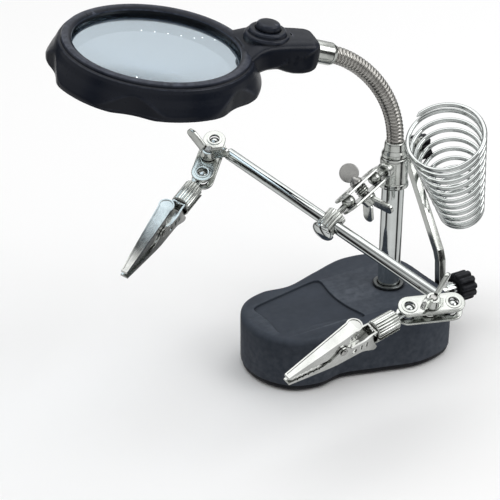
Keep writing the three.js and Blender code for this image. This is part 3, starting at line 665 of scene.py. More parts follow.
# ---- base
STAND = frame_at(Vector((0, 0, 0)), along("arm_tilt"), UP)
COVER_TOP, BASE_TOP = heights("base_shell")
PAD_TOP = heights("foot_pad")[1]
POST_RADIUS = box_mm("post")[1].x
WALL = 2.5
DOOR = {"low": -60.5, "high": -15.0, "half": 13.5}  # where it lies along the base, and half its width
CELL_SIZE = {"radius": 5.2, "length": 44, "height": 9.2, "gap": 0.6}
BASE_HALF = [  # one side of the base's outline, from the post's end to the far end
    (19.5, 0), (19, 14), (14, 26), (-3, 31), (-22, 26.5), (-38, 22),
    (-50, 23.3), (-61, 19.5), (-68, 10), (-70, 0),
]


def base_outline():
    mirrored = [(a, -b) for a, b in reversed(BASE_HALF[1:-1])]
    return closed_curve(BASE_HALF + mirrored, 12)


def tray_outline():
    """The sunken tray on the base's top: four hollow sides that meet in rounded corners."""
    corners = [(-22.3, 19.8), (-22.3, -19.3), (-63, -12.5), (-62, 12.5)]
    hollows = [(-30.5, -0.5), (-42, -10), (-59, 0), (-43, 16)]
    raw = []
    for i, corner in enumerate(corners):
        start, middle, end = Vector(corner), Vector(hollows[i]), Vector(corners[(i + 1) % 4])
        raw += [bent(start, middle, end, step / 16) for step in range(16)]
    for _ in range(5):
        raw = [(raw[i - 1] + p * 2 + raw[(i + 1) % len(raw)]) / 4 for i, p in enumerate(raw)]
    return [tuple(p) for p in raw]


def holder_rod(radius, low, high, pivot, sides=48, edge=0.0):
    """A rod along the base's long axis through a pivot given as (across, height)."""
    return shifted(along_x(rod_z(radius, low, high, sides, edge)), 0, *pivot)


ARM_PIVOT, COIL_PIVOT = (STAND.inverted() @ at(joint) for joint in ("arm_tilt", "coil_tilt"))
LOWER_PIVOT = (ARM_PIVOT.y, ARM_PIVOT.z)
UPPER_PIVOT = (COIL_PIVOT.y, COIL_PIVOT.z)


def base_shell():
    """The hollow shell: a rounded top, a sunken tray in it and a boss inside for the post."""
    outline = base_outline()
    round_top = 2.6
    turns = [radians(90 * i / 8) for i in range(9)]
    levels = [(0.25, COVER_TOP), (0.0, COVER_TOP + 0.3)]
    levels += [(round_top * (1 - cos(t)), BASE_TOP - round_top * (1 - sin(t))) for t in turns]
    ceiling = BASE_TOP - WALL
    inside = stack(outline, [(WALL, COVER_TOP - 1), (WALL, ceiling - 1.5), (WALL + 1.5, ceiling)])
    boss = rod_z(8.5, 13, ceiling + 0.5)
    dish = [(0.6, -1), (0.2, -0.85), (0.05, -0.45), (-0.1, -0.12), (-0.4, 0.1), (-0.4, 1)]
    tray = stack(tray_outline(), [(by, BASE_TOP + z) for by, z in dish])
    shell = union(without(stack(outline, levels), inside), boss)
    post_hole = rod_z(POST_RADIUS + FIT, 0, 40)
    return without(shell, tray, post_hole, holder_rod(2.3, 10, 30, LOWER_PIVOT))


def door_outline(grown=0.0):
    low, high, half = DOOR["low"] - grown, DOOR["high"] + grown, DOOR["half"] + grown
    return fillet([(low, -half), (high, -half), (high, half), (low, half)], 1.5, closed=True)


def bottom_cover():
    plate = prism(inset(anticlockwise(base_outline()), 0.6), PAD_TOP, COVER_TOP, 0.3)
    return without(plate, prism(door_outline(FIT), 0, 10), rod_z(6, 0, 10))


def battery_door():
    plate = prism(door_outline(), PAD_TOP + 0.2, COVER_TOP - 0.2, 0.3)
    ribs = [block(x - 0.5, x + 0.5, -6, 6, 0, PAD_TOP + 0.7) for x in (-22, -24.4, -26.8, -29.2)]
    return without(plate, *ribs)


def foot_pad():
    """The pad under the base, with two grooves that follow its edge."""
    def filled(by, low, high):
        return stack(base_outline(), [(by, low), (by, high)])
    pad = stack(base_outline(), [(3.0, 0), (2.7, 0.3), (2.7, PAD_TOP)])
    grooves = [without(filled(by, -1, 0.35), filled(by + 0.8, -2, 1)) for by in (5.0, 7.4)]
    return without(pad, prism(door_outline(1.0), -1, 10), *grooves)


def ballast():
    """A cast weight that fills the post's end of the base."""
    edge = WALL + 1.5
    levels = [(edge + 0.7, COVER_TOP + FIT), (edge, COVER_TOP + 1), (edge, 10.8), (edge + 0.8, 11.5)]
    plate = without(stack(base_outline(), levels), rod_z(9.5, 0, 30))
    return common(plate, block(DOOR["high"] + 2.5, 60, -60, 60, 0, 30))


def battery_cell(length, radius):
    return turned([
        (0, 0), (radius - 0.4, 0), (radius, 0.6), (radius, length - 2), (radius - 0.6, length - 1.2),
        (1.9, length - 1.2), (1.9, length), (0, length),
    ], 0.35)


def add_base():
    dress("base_shell", base_shell(), STAND, SLATE, 28)
    dress("bottom_cover", bottom_cover(), STAND, BLACK)
    dress("battery_door", battery_door(), STAND, BLACK)
    dress("foot_pad", foot_pad(), STAND, RUBBER)
    dress("ballast_weight", ballast(), STAND, CAST_IRON)
    radius, length = CELL_SIZE["radius"], CELL_SIZE["length"]
    for i, place in enumerate((-1, 0, 1)):
        start, way = (DOOR["high"] - 1, -1) if i == 1 else (DOOR["low"] + 1, 1)
        lie = Matrix.Translation((start, place * (2 * radius + CELL_SIZE["gap"]), CELL_SIZE["height"]))
        lie = STAND @ lie @ Matrix.Rotation(way * pi / 2, 4, "Y")
        dress(f"battery_{i + 1}", battery_cell(length, radius), lie, CELL)


# ---- post and collar
WORLD = Matrix.Identity(4)
SOCKET_LOW, SOCKET_HIGH = heights("neck_socket")
COLLAR_LOW, COLLAR_HIGH = heights("post_collar")
BALL_RADIUS = 2.8
STEM_NECK = 1.25
NECK_END = 7.6  # distance from a ball's centre at which its neck widens


def ball_end(height=0.0, steps=14):
    """The end of a stem that runs into a ball centred at a height, as (radius, height) points."""
    start = acos(STEM_NECK / BALL_RADIUS)
    turns = [-start + (start + pi / 2) * i / steps for i in range(steps + 1)]
    return [(max(BALL_RADIUS * cos(t), 0), height + BALL_RADIUS * sin(t)) for t in turns]


def ball_start():
    """The same end turned over, its ball centred at height 0."""
    return [(r, -z) for r, z in reversed(ball_end())]


def tube(inner, outer, low, high, edge=0.2, sides=64):
    return turned([(inner, low), (outer, low), (outer, high), (inner, high)], edge, sides, closed=True)


def hex_nut(across, bore, low, high):
    """A six-sided nut whose corners are turned off at both ends."""
    blank = prism(circle(0, 0, across, 6), low, high)
    turned_off = lathe([(0, low), (across * 0.88, low), (across, low + 0.8), (across, high - 0.8),
                        (across * 0.88, high), (0, high)], 64)
    return without(common(blank, turned_off), rod_z(bore, low - 1, high + 1))


def collar():
    """The ring that clamps on the post, with the ball stem that carries the centre clamp."""
    bore = POST_RADIUS + FIT
    body = turned([
        (bore, COLLAR_LOW), (6.4, COLLAR_LOW), (6.4, COLLAR_LOW + 1.7), (5.9, COLLAR_LOW + 2.4),
        (5.9, COLLAR_HIGH - 1.2), (5.4, COLLAR_HIGH), (bore, COLLAR_HIGH),
    ], 0.5, 72, closed=True)
    ball_at = at("centre_swing")
    root = Vector((0, 0, ball_at.z + 1.9))
    shoulder = fillet([(0, 3), (3.5, 3), (3.5, 6.9), (3.0, NECK_END), (STEM_NECK, NECK_END + 0.3)], 0.3)
    stem = lathe(shoulder + ball_end((ball_at - root).length), 48)
    whole = union(body, along_x(stem).moved(frame_at(root, ball_at - root, UP)))
    slot = block(4, 9, -2.6, 2.6, -0.3, 1.6)
    slot_turn = Matrix.Translation((0, 0, COLLAR_LOW + 0.4)) @ Matrix.Rotation(radians(-105), 4, "Z")
    return without(whole, rod_z(bore, 60, 100, 72), slot.moved(slot_turn))


def add_post():
    dress("post", tube(2.6, POST_RADIUS, *heights("post"), 0.25, 96), WORLD, CHROME)
    foot_radius = box_mm("post_foot_ring")[1].x
    foot = tube(POST_RADIUS + 0.1, foot_radius, *heights("post_foot_ring"), 0.5)
    dress("post_foot_ring", foot, WORLD, SHADED)
    dress("post_nut", hex_nut(8.2, POST_RADIUS + 0.1, *heights("post_nut")), WORLD, STEEL)
    insert = shifted(along_x(hex_nut(3.8, 2.2, 11.5, 16)), 0, *LOWER_PIVOT)
    dress("base_insert_nut", insert, STAND, STEEL)
    dress("post_collar", collar(), WORLD, NICKEL, 35)
    bore = 2.6
    socket = turned([
        (bore, SOCKET_LOW), (5.4, SOCKET_LOW), (5.4, SOCKET_LOW + 1.5), (4.5, SOCKET_LOW + 3.0),
        (4.3, SOCKET_HIGH - 0.6), (3.9, SOCKET_HIGH), (bore, SOCKET_HIGH),
    ], 0.4, 72, closed=True)
    dress("neck_socket", socket, WORLD, NICKEL)


# ---- plate clamps
BALL_SPACING = (at("block_roll") - at("centre_swing")).length
PLATE = {"low": 2.28, "high": 3.28, "end": 4.6, "ball_hole": 2.1, "bolt_hole": 1.8}
BOLT_RADIUS = 1.5
BOLT_END = 7.6
BOLT_TOP = -PLATE["high"] - 0.1  # the height at which a bolt's head ends
NUT_BASE = PLATE["high"] + FIT


def clamp_plate(side):
    """A pressed plate with round ends and a raised lip round each ball's hole."""
    half = BALL_SPACING / 2
    outline = arc(half, 0, PLATE["end"], -90, 90, 20) + arc(-half, 0, PLATE["end"], 90, 270, 20)
    balls = [circle(x, 0, PLATE["ball_hole"]) for x in (-half, half)]
    holes = balls + [circle(0, 0, PLATE["bolt_hole"])]
    plate = prism(outline, PLATE["low"], PLATE["high"], 0.28, holes)
    hole, top = PLATE["ball_hole"], PLATE["high"]
    lip = tube(hole, hole + 1.1, top - 0.3, top + 0.22, sides=40)
    plate = union(plate, shifted(lip, -half, 0, 0), shifted(lip, half, 0, 0))
    return plate if side > 0 else plate.moved(Matrix.Rotation(pi, 4, "X"))


def bolt_shaft(profile):
    """A bolt up from its head, with shallow thread rings near its end."""
    rings = []
    height = NUT_BASE + 3.2
    while height < BOLT_END - 0.5:
        rings += [(BOLT_RADIUS, height), (BOLT_RADIUS - 0.16, height + 0.25)]
        height += 0.5
    end = [(BOLT_RADIUS, BOLT_END - 0.3), (BOLT_RADIUS - 0.3, BOLT_END), (0, BOLT_END)]
    return lathe(profile + rings + end, 40)


def domed_bolt():
    return bolt_shaft(dome(2.9, BOLT_TOP - 0.2, 1.5) + [(2.9, BOLT_TOP), (BOLT_RADIUS, BOLT_TOP)])


def spade_bolt():
    """The centre bolt ends in a round flat spade for the fingers."""
    head = [(0, -3.2), (1.2, -3), (2.6, -1), (2.7, -0.2), (2.5, 0), (BOLT_RADIUS, 0)]
    shaft = bolt_shaft([(r, BOLT_TOP + z) for r, z in head])
    disc = side_plate(circle(0, BOLT_TOP - 5.2, 4.0, 48), 0.8, 0.25)
    return spun(union(shaft, disc), 0.56)


def clamp_spring():
    """A short coil spring between the plates, round the bolt."""
    wire, radius, turns, steps = 0.42, 2.35, 3.5, 90
    rise = PLATE["low"] - wire - 0.1
    path = []
    for i in range(steps + 1):
        angle = 2 * pi * turns * i / steps
        path.append(Vector((radius * cos(angle), radius * sin(angle), -rise + 2 * rise * i / steps)))
    return sweep(path, round_ended(path, wire), 10)


def capsule(start, end, radius):
    """The outline of a bar with round ends."""
    lean = degrees(atan2(end[1] - start[1], end[0] - start[0]))
    return arc(*end, radius, lean - 90, lean + 90) + arc(*start, radius, lean + 90, lean + 270)


def wing_nut(turn):
    """A nut with two round ears, turned about its bolt."""
    hub = turned([
        (0, NUT_BASE), (3.4, NUT_BASE), (3.4, NUT_BASE + 0.8), (2.6, NUT_BASE + 3.6), (0, NUT_BASE + 3.6),
    ], 0.25, 48)
    ear = side_plate(capsule((2.6, NUT_BASE + 2.9), (8, NUT_BASE + 8), 2.3), 0.75, 0.3)
    bore = rod_z(BOLT_RADIUS + 0.15, 0, 20, 32)
    return spun(without(union(hub, ear, spun(ear, pi)), bore), turn)


def add_clamp(name, first, second, nut, nut_turn, spade=False):
    place = frame_at(at(nut), at(second) - at(first), along(nut))
    dress(f"{name}_plate_upper", clamp_plate(-1 if spade else 1), place, NICKEL)
    dress(f"{name}_plate_lower", clamp_plate(1 if spade else -1), place, NICKEL)
    dress(f"{name}_clamp_bolt", spade_bolt() if spade else domed_bolt(), place, STEEL)
    dress(f"{name}_clamp_spring", clamp_spring(), place, NICKEL)
    dress(f"{name}_wing_nut", wing_nut(nut_turn), place, NICKEL)


# ---- rod and its block
ROD_AXIS = along("rod_slide")
ROD_RADIUS = 2.5


def fluted(radius, start, end, depth, edge=0.35):
    """A rod along X with rounded ribs round it."""
    return along_x(prism(wavy_circle(radius, depth, 18, 6, 8), start, end, edge))


def rod_block():
    """A ball stem that runs into a ribbed block, bored across for the rod and down its end for the cap."""
    stem = lathe(ball_start() + [(STEM_NECK, 8), (0, 8)], 40)
    body = union(along_x(stem), fluted(4.25, 7.2, 15.8, 0.32))
    return without(body, cross_hole(ROD_RADIUS + FIT, 12, 0, 10, 48), along_x(rod_z(1.9, 14, 20)))


def block_cap():
    head, tip = 16.1, 12 + ROD_RADIUS + FIT
    crown = [(4.9, head), (4.9, head + 0.8, 0.3), (4.3, head + 1.8), (2.6, head + 2.7), (0, head + 3)]
    return along_x(lathe([(0, tip), (1.6, tip), (1.6, head)] + fillet(crown, 0.8), 64))


def cross_rod(length):
    """The long rod with a ball at each end."""
    body = fillet([
        (STEM_NECK, 3.2), (STEM_NECK, NECK_END - 1.2), (ROD_RADIUS, NECK_END),
        (ROD_RADIUS, length - NECK_END), (STEM_NECK, length - NECK_END + 1.2), (STEM_NECK, length - 3.2),
    ], 0.4)
    return along_x(lathe(ball_start() + body + ball_end(length), 64))


def add_rod():
    block_axis = along("block_roll")
    place = frame_at(at("block_roll"), block_axis, ROD_AXIS.cross(block_axis))
    dress("rod_block", rod_block(), place, NICKEL)
    dress("rod_block_cap", block_cap(), place, CHROME)
    length = (at("right_plates_turn") - at("left_plates_turn")).length
    dress("cross_rod", cross_rod(length), frame_at(at("left_plates_turn"), ROD_AXIS, UP), CHROME)


# ---- clips
CLIP_LENGTH = 61
SLEEVE = {"from": 7.2, "to": 18.5, "radius": 3.9, "bore": 2.5}
PIN = {"x": 36, "z": 2}
BITE = 0.8  # half the opening between the closed jaws
SHEET = 0.6


def clip_stem():
    shank = fillet([(STEM_NECK, 2.9), (STEM_NECK, 7.2), (2.2, 7.6), (2.2, 15.2), (0, 15.2)], 0.25)
    return along_x(lathe(ball_start() + shank, 48))


def clip_sleeve():
    ribbed = fluted(SLEEVE["radius"], SLEEVE["from"], SLEEVE["to"], 0.34, 0.5)
    return without(ribbed, along_x(rod_z(SLEEVE["bore"], 0, 30)))


def taper(points, low, high):
    """A plan outline from its half widths, as (distance, half width) pairs."""
    outline = [(x, -w) for x, w in points] + [(x, w) for x, w in reversed(points)]
    return prism(outline, low, high)


def pin_hole():
    return cross_hole(1.2, PIN["x"], PIN["z"])


def teeth(first, count, low, peak):
    """Notches across a jaw: each is a wedge from its open side at height low to its peak."""
    return [side_plate([(x - 0.8, low), (x + 0.8, low), (x, peak)], 4)
            for x in (first + 2.5 * i for i in range(count))]


def lower_jaw():
    """The fixed jaw: an open channel with a tail, and a trough at its back that holds the sleeve."""
    tip = CLIP_LENGTH
    side = side_plate(fillet([
        (18.8, -2.6, 0), (18.8, -4.6, 0), (17.2, -7.2, 1.2), (18.6, -8, 0.9), (25, -4.4, 2), (42, -3.8, 2),
        (tip, -1.8, 0.6), (tip, -BITE, 0.2), (45, -BITE, 0.2), (43.5, -0.1, 0.3), (42, -0.1, 0.3),
        (39, 1.8, 1), (37.5, 3.8, 1.2), (34.5, 3.8, 1.2), (32, 1.4, 1), (25, 1.2, 1), (22, 2.3, 0.6),
        (18.8, 2.3, 0),
    ], 0, closed=True), 3)
    plan = taper([(16, 2.6), (22, 3), (38, 3), (tip, 1.5)], -10, 10)
    inner_side = [
        (19.6, -1.6), (22.2, -3.3), (25, -3.7), (42, -3.2), (tip - 1.5, -1.5), (tip - 1.5, 6), (19.6, 6),
    ]
    room = common(side_plate(inner_side, 3), taper([(19, 2.2), (38, 2.4), (tip - 1, 0.9)], -10, 10))
    snug = SLEEVE["radius"] + 0.08
    trough = common(
        along_x(tube(snug, snug + SHEET, SLEEVE["from"] + 0.6, 19.6)),
        side_plate([(0, -10), (30, -10), (30, 0.4), (19.6, 0.4), (18, -1.6), (0, -1.6)], 6),
    )
    plug = along_x(rod_z(SLEEVE["bore"] - FIT, 15.8, 20))
    holes = [cross_hole(1.1, 30, -1.4)]
    holes += [block(x - 0.55, x + 0.55, -6, 6, -2.7, -0.2) for x in (23.9, 26.6)]
    notches = teeth(47, 5, 0, -BITE - 0.7)
    body = union(without(common(side, plan), room), trough, plug)
    return without(body, pin_hole(), *holes, *notches)


def jaw_back(drop):
    """The upper jaw's curved back line, lowered by a drop."""
    line = [(26.6, 10.9), (30, 10.8), (36, 8.9), (48, 5.6), (CLIP_LENGTH, 2)]
    return [(x, z - drop) for x, z in line]


def upper_jaw():
    """The moving jaw: a curved back with a thumb pad, and two flanges down to the pin."""
    tip = CLIP_LENGTH
    strip = side_plate(jaw_back(0) + [(tip, BITE + 0.1), (36, 8), (30, 9.9), (26.6, 10)], 4)
    pad = [(tip, -1.3), (tip, 1.3), (36, 2.6)] + arc(29.8, 0, 3.2, 60, 300, 28) + [(36, -2.6)]
    top = common(strip, prism(fillet(pad[:3], 0.2) + pad[3:], 0, 20))
    rim = inset(anticlockwise(pad), 0.55)
    above = side_plate(jaw_back(0.3) + [(tip + 5, 0.5), (tip + 5, 20), (20, 20)], 4)
    recess = common(prism(rim, 0, 20), above)
    flange_side = side_plate(fillet([
        (32, 9.2), (33, 4, 1), (34.2, 0.6, 1.2), (37.5, 0.2, 1.2), (40.5, 1, 1), (44, BITE, 0.5),
        (tip, BITE, 0.2), (tip, 1.9), (48, 5.4), (36, 8.7),
    ], 0, closed=True), 4)
    flanges = without(
        common(flange_side, taper([(30, 2.1), (42, 2.1), (tip, 1.2)], -10, 20)),
        common(taper([(28, 2.1 - SHEET), (42, 2.1 - SHEET), (tip - 1, 0.6)], -10, 20),
               side_plate([(28, -5), (tip - 1, -5), (tip - 1, 1.5), (48, 4.7), (36, 8.1), (28, 10.1)], 4)),
    )
    notches = teeth(48.2, 5, 0.1, BITE + 0.6)
    return without(union(top, flanges), recess, pin_hole(), *notches)


def jaw_pin():
    half = 3.8
    head = [(0, 0), (1.1, 0), (1.5, 0.3), (1.5, 0.8 - FIT), (0.9, 0.6)]
    start = [(r, z - half) for r, z in head]
    pin = lathe(start + [(r, -z) for r, z in reversed(start)], 32)
    return shifted(pin.moved(SIDE), PIN["x"], 0, PIN["z"])


def jaw_spring():
    """The torsion spring: turns round the pin, then a leg along each jaw."""
    turns, radius, leg, steps = 2.6, 1.4, 5.0, 110
    total = 2 * pi * radius * turns
    path = []
    for i in range(steps + 1):
        run = i / steps * (total + 2 * leg) - leg
        inside = min(max(run, 0), total)
        angle = inside / radius
        beyond = run - inside
        x = PIN["x"] - radius * sin(angle) - beyond * cos(angle)
        z = PIN["z"] - radius * cos(angle) + beyond * sin(angle)
        path.append(Vector((x, 2 * inside / total - 1, z)))
    return sweep(path, round_ended(path, 0.28), 10)


def add_clip(side):
    axis = along(f"{side}_clip_roll")
    place = frame_at(at(f"{side}_clip_roll"), axis, along(f"{side}_jaw_open").cross(axis))
    dress(f"{side}_clip_stem", clip_stem(), place, CHROME)
    dress(f"{side}_clip_sleeve", clip_sleeve(), place, NICKEL, 40)
    dress(f"{side}_lower_jaw", lower_jaw(), place, PRESSED)
    dress(f"{side}_upper_jaw", upper_jaw(), place, PRESSED)
    dress(f"{side}_jaw_pin", jaw_pin(), place, STEEL)
    dress(f"{side}_jaw_spring", jaw_spring(), place, STEEL)


# ---- iron holder
ARM_LOW, ARM_HIGH = ARM_PIVOT.x - 1.8, ARM_PIVOT.x + 1.8
ARM_BEND = [(1.4, 15.5), (3.0, 19.5)]  # the arm's two bends, from its lower pivot, as (across, height)
BRACKET = (ARM_HIGH + FIT, ARM_HIGH + FIT + 1.5)
UPPER_KNOB = (BRACKET[1] + FIT, BRACKET[1] + FIT + 6.5)
LOWER_KNOB = (30, 38)


def across_stand(outline, low, high, edge=0.0, holes=()):
    """An outline drawn as (across, height) made into a plate along the base's long axis."""
    upright = Matrix(((0, 0, 1), (1, 0, 0), (0, 1, 0))).to_4x4()
    return prism(outline, low, high, edge, holes).moved(upright)


def holder_arm():
    lower = Vector(LOWER_PIVOT)
    points = [lower] + [lower + Vector(p) for p in ARM_BEND] + [Vector(UPPER_PIVOT)]
    bars = [across_stand(capsule(tuple(a), tuple(b), 1.7), ARM_LOW, ARM_HIGH, 0.3)
            for a, b in zip(points, points[1:])]
    eyes = [holder_rod(4.4, ARM_LOW, ARM_HIGH, pivot, 64, 0.35) for pivot in (LOWER_PIVOT, UPPER_PIVOT)]
    bores = [holder_rod(2 + FIT, ARM_LOW - 1, ARM_HIGH + 1, pivot) for pivot in (LOWER_PIVOT, UPPER_PIVOT)]
    return without(union(bars[0], *bars[1:], *eyes), *bores)


def lobed_knob(radius, span, pivot):
    """A knob with rounded lobes, a crowned face and a shallow dish in it."""
    blank = prism(wavy_circle(radius + 0.1, 1.05, 10, 5, 14), *span, 1.1, steps=6)
    floor, wide = span[1] - 0.5, radius - 1.8
    above = floor + 2.5
    dish = lathe([(0, floor), (wide - 0.8, floor), (wide, floor + 0.8), (wide, above), (0, above)], 48)
    return shifted(along_x(without(blank, dish)), 0, *pivot)


def coil_bracket():
    """The plate between the arm and the coil, which widens behind the coil's upper turns."""
    b, z = UPPER_PIVOT
    corners = [(b, z - 4.6, 0), (b, z + 4.6, 0), (b - 6.7, z + 8.5, 1.2), (b - 5.5, z - 5.5, 1.2)]
    outline = fillet(corners, 0, closed=True)
    plate = union(across_stand(outline, *BRACKET, 0.25), holder_rod(4.6, *BRACKET, UPPER_PIVOT, 64, 0.25))
    return without(plate, holder_rod(2 + FIT, 0, 60, UPPER_PIVOT))


# The coil narrows downwards; its end turns lie closer together than the rest.
COIL_TOP = STAND @ (COIL_PIVOT + Vector((-0.21, -26.08, 16.8)))
COIL_BOTTOM = STAND @ (COIL_PIVOT + Vector((24.85, -9.63, -31.3)))
COIL = {
    "top_radius": 16.4, "bottom_radius": 9.2, "wire": 1.0, "turns": 11, "close_top": 2.8, "close_bottom": 2.3,
}


def iron_coil():
    length = (COIL_TOP - COIL_BOTTOM).length
    open_turns = COIL["turns"] - 2.5
    pitch = (length - COIL["close_top"] - 1.5 * COIL["close_bottom"]) / open_turns
    steps = COIL["turns"] * 56
    path = []
    for i in range(steps + 1):
        turn = COIL["turns"] * i / steps
        depth = min(turn, 1) * COIL["close_top"] + min(max(turn - 1, 0), open_turns) * pitch
        depth += max(turn - 1 - open_turns, 0) * COIL["close_bottom"]
        radius = COIL["top_radius"] + (COIL["bottom_radius"] - COIL["top_radius"]) * depth / length
        angle = 2 * pi * turn
        path.append(Vector((radius * cos(angle), -radius * sin(angle), -depth)))
    return sweep(path, round_ended(path, COIL["wire"]), 16)


def add_holder():
    dress("holder_arm", holder_arm(), STAND, NICKEL)
    hole = holder_rod(2.1, 20, 35, LOWER_PIVOT)
    dress("lower_clamp_knob", without(lobed_knob(6.4, LOWER_KNOB, LOWER_PIVOT), hole), STAND, BLACK)
    screw = union(holder_rod(2, 10.5, 34.8, LOWER_PIVOT, 48, 0.3),
                  holder_rod(3.4, ARM_HIGH + FIT, LOWER_KNOB[0] - 0.1, LOWER_PIVOT, 64, 0.5))
    dress("lower_clamp_screw", screw, STAND, CHROME)
    dress("coil_bracket", coil_bracket(), STAND, NICKEL)
    hole = holder_rod(2 + FIT, 20, UPPER_KNOB[1] - 1.6, UPPER_PIVOT)
    dress("upper_clamp_knob", without(lobed_knob(5.6, UPPER_KNOB, UPPER_PIVOT), hole), STAND, BLACK)
    screw = union(holder_rod(2, ARM_LOW - 1, UPPER_KNOB[1] - 2.2, UPPER_PIVOT, 48, 0.3),
                  holder_rod(3.3, ARM_LOW - FIT - 1.9, ARM_LOW - FIT, UPPER_PIVOT, 64, 0.5))
    dress("upper_clamp_screw", screw, STAND, CHROME)
    coil_axis = COIL_TOP - COIL_BOTTOM
    start = level_with(STAND @ Vector((-0.07, 0.86, 0)), coil_axis)
    dress("iron_coil", iron_coil(), frame_at(COIL_TOP, start, coil_axis), CHROME, 60)


# ---- magnifier
LENS_RADIUS = 33
LENS_DROP = 2.2  # the lens lies this far under the head's origin
RIM_BOTTOM = -11
SWITCH = {"x": 43.5, "button": 5}
SCALLOPS = [52, 116, 180, 244, 308]  # where they are, in degrees round the lens
SCALLOP = {"deep": 38.8, "shallow": 41.9, "half": 21.0}  # the cut's radii and its half angle
UNDERCUT = 0.07  # how fast a scallop leans inwards going down
FERRULE = {"x": 61, "z": -0.6, "lean": 0.19, "end": 12, "radius": 4.6}


def head_frame():
    z = -along("switch_press")
    low, high = box_mm("magnifier_lens")
    origin = (low + high) / 2 + z * LENS_DROP
    low, high = box_mm("switch_button")
    return frame_at(origin, level_with((low + high) / 2 - origin, z), z)


HEAD = head_frame()
FERRULE_AXIS = Vector((cos(FERRULE["lean"]), 0, -sin(FERRULE["lean"])))
FERRULE_PLACE = HEAD @ frame_at(Vector((FERRULE["x"], 0, FERRULE["z"])), FERRULE_AXIS, UP)


def soft_min(a, b):
    """The smaller of two lengths, with the change from one to the other rounded off."""
    blend = 0.4
    share = min(max(0.5 + 0.5 * (b - a) / blend, 0), 1)
    return b * (1 - share) + a * share - blend * share * (1 - share)


def scallop_radius(angle):
    """How far out the scallops let the rim reach at an angle in degrees."""
    away = min(abs((angle - centre + 180) % 360 - 180) for centre in SCALLOPS)
    share = min(away / SCALLOP["half"], 1)
    rise = (1 - cos(pi * share)) / 2
    return SCALLOP["deep"] + (SCALLOP["shallow"] - SCALLOP["deep"]) * rise


# The head's side as (radius, height): round the bezel first, then down the wall that the scallops cut into.
BEZEL_LINE = [
    (0, 1.2), (31, 1.2), (LENS_RADIUS - 0.6, 1.2), (LENS_RADIUS + 0.1, 1.7), (LENS_RADIUS + 1, 2.1),
    (LENS_RADIUS + 2.2, 2.1), (LENS_RADIUS + 3, 1.75), (LENS_RADIUS + 3.35, 1.2), (LENS_RADIUS + 3.45, 0.7),
    (LENS_RADIUS + 3.9, 0.55),
]
WALL_LINE = [
    (37.3, 0.3), (38.0, -0.9), (38.9, -3.0), (40.2, -5.5),
    (41.3, -8.0), (41.9, -9.3), (41.4, -10.4), (40.2, -10.9),
]


def finer(stations, steps):
    """Stations with steps - 1 more put evenly between each two."""
    between = [
        [a + (b - a) * i / steps for a, b in zip(first, second)]
        for first, second in zip(stations, stations[1:]) for i in range(steps)
    ]
    return between + [list(stations[-1])]


def head_blank():
    """The head's solid shape: a bezel, a flared wall with scallops cut into it, and the handle."""
    sides = 360
    rows = [ring(r, z, sides) for r, z in BEZEL_LINE]
    for r, z in finer(WALL_LINE, 6):
        row = []
        for i in range(sides):
            angle = 360 * i / sides
            reach = soft_min(r, scallop_radius(angle) + UNDERCUT * (z + 4))
            row.append(Vector((reach * cos(radians(angle)), reach * sin(radians(angle)), z)))
        rows.append(row)
    rows.append([Vector((p.x * 0.975, p.y * 0.975, RIM_BOTTOM)) for p in rows[-1]])
    rows.append(ring(0, RIM_BOTTOM, sides))
    return union(clean(skin(rows, caps=False)), handle())


# Stations along the handle: distance, half width, top, bottom.
HANDLE_STATIONS = [
    (30, 17.5, 0.2, -9.6), (34, 14.0, 2.8, -9.0), (38, 11.9, 4.8, -7.6), (42, 10.8, 5.6, -6.3),
    (47, 10.2, 5.8, -6.0), (50.5, 9.9, 5.8, -7.4), (54, 9.7, 5.8, -8.3), (58, 9.5, 5.7, -8.4),
    (61, 9.1, 5.6, -7.9), (63, 8.2, 5.2, -7.0), (64, 6.8, 4.2, -5.6),
]


def handle():
    """The handle, lofted through rounded sections; a low step runs up round its end."""
    fine = finer(HANDLE_STATIONS, 6)
    for _ in range(3):
        triples = zip(fine, fine[1:], fine[2:])
        inner = [[(p + 2 * q + r) / 4 for p, q, r in zip(*triple)] for triple in triples]
        fine = [fine[0]] + inner + [fine[-1]]
    around, squareness = 96, 4.2
    rows = []
    for x, half, top, bottom in fine:
        middle, tall = (top + bottom) / 2, (top - bottom) / 2
        crease = -4.6 + 0.012 * (x - 36) ** 2  # the step's height, rising towards the end
        row = []
        for i in range(around):
            angle = 2 * pi * i / around
            y, z = (
                reach * copysign(abs(turn) ** (2 / squareness), turn)
                for reach, turn in ((half, cos(angle)), (tall, sin(angle)))
            )
            under = min(max((crease - (middle + z)) / 0.5, 0), 1)
            row.append(Vector((x, y * (1 - 0.045 * under), middle + z)))
        rows.append(row)
    return clean(skin(rows))


PARTING = -9.6  # the height at which the head's frame meets its cover


def head_frame_shape(blank, ferrule_hole):
    """The upper shell: the blank with the switch's stepped mount, hollowed for the lens and the button."""
    mount = turned([
        (0, 3), (9.0, 3, 0), (9.0, 5.6), (8.4, 6.4), (7.7, 6.5), (7.5, 7.6), (6.9, 8.2), (5.5, 8.2), (0, 8.2),
    ], 0.45, 96)
    lower = block(-80, 80, -60, 60, -30, PARTING)
    lens_well = lathe([
        (0, -30), (LENS_RADIUS + 2, -30), (LENS_RADIUS + 2, -3.4), (LENS_RADIUS + FIT, -3.4),
        (LENS_RADIUS + FIT, 0.2), (LENS_RADIUS - 0.8, 0.6), (LENS_RADIUS - 0.6, 1.3),
        (LENS_RADIUS + 0.1, 1.75), (LENS_RADIUS + 0.1, 10), (0, 10),
    ], 180)
    switch_well = shifted(rod_z(SWITCH["button"] + FIT, 1, 20, 64), SWITCH["x"], 0, 0)
    whole = union(blank, shifted(mount, SWITCH["x"], 0, 0))
    return without(whole, lower, lens_well, switch_well, ferrule_hole)


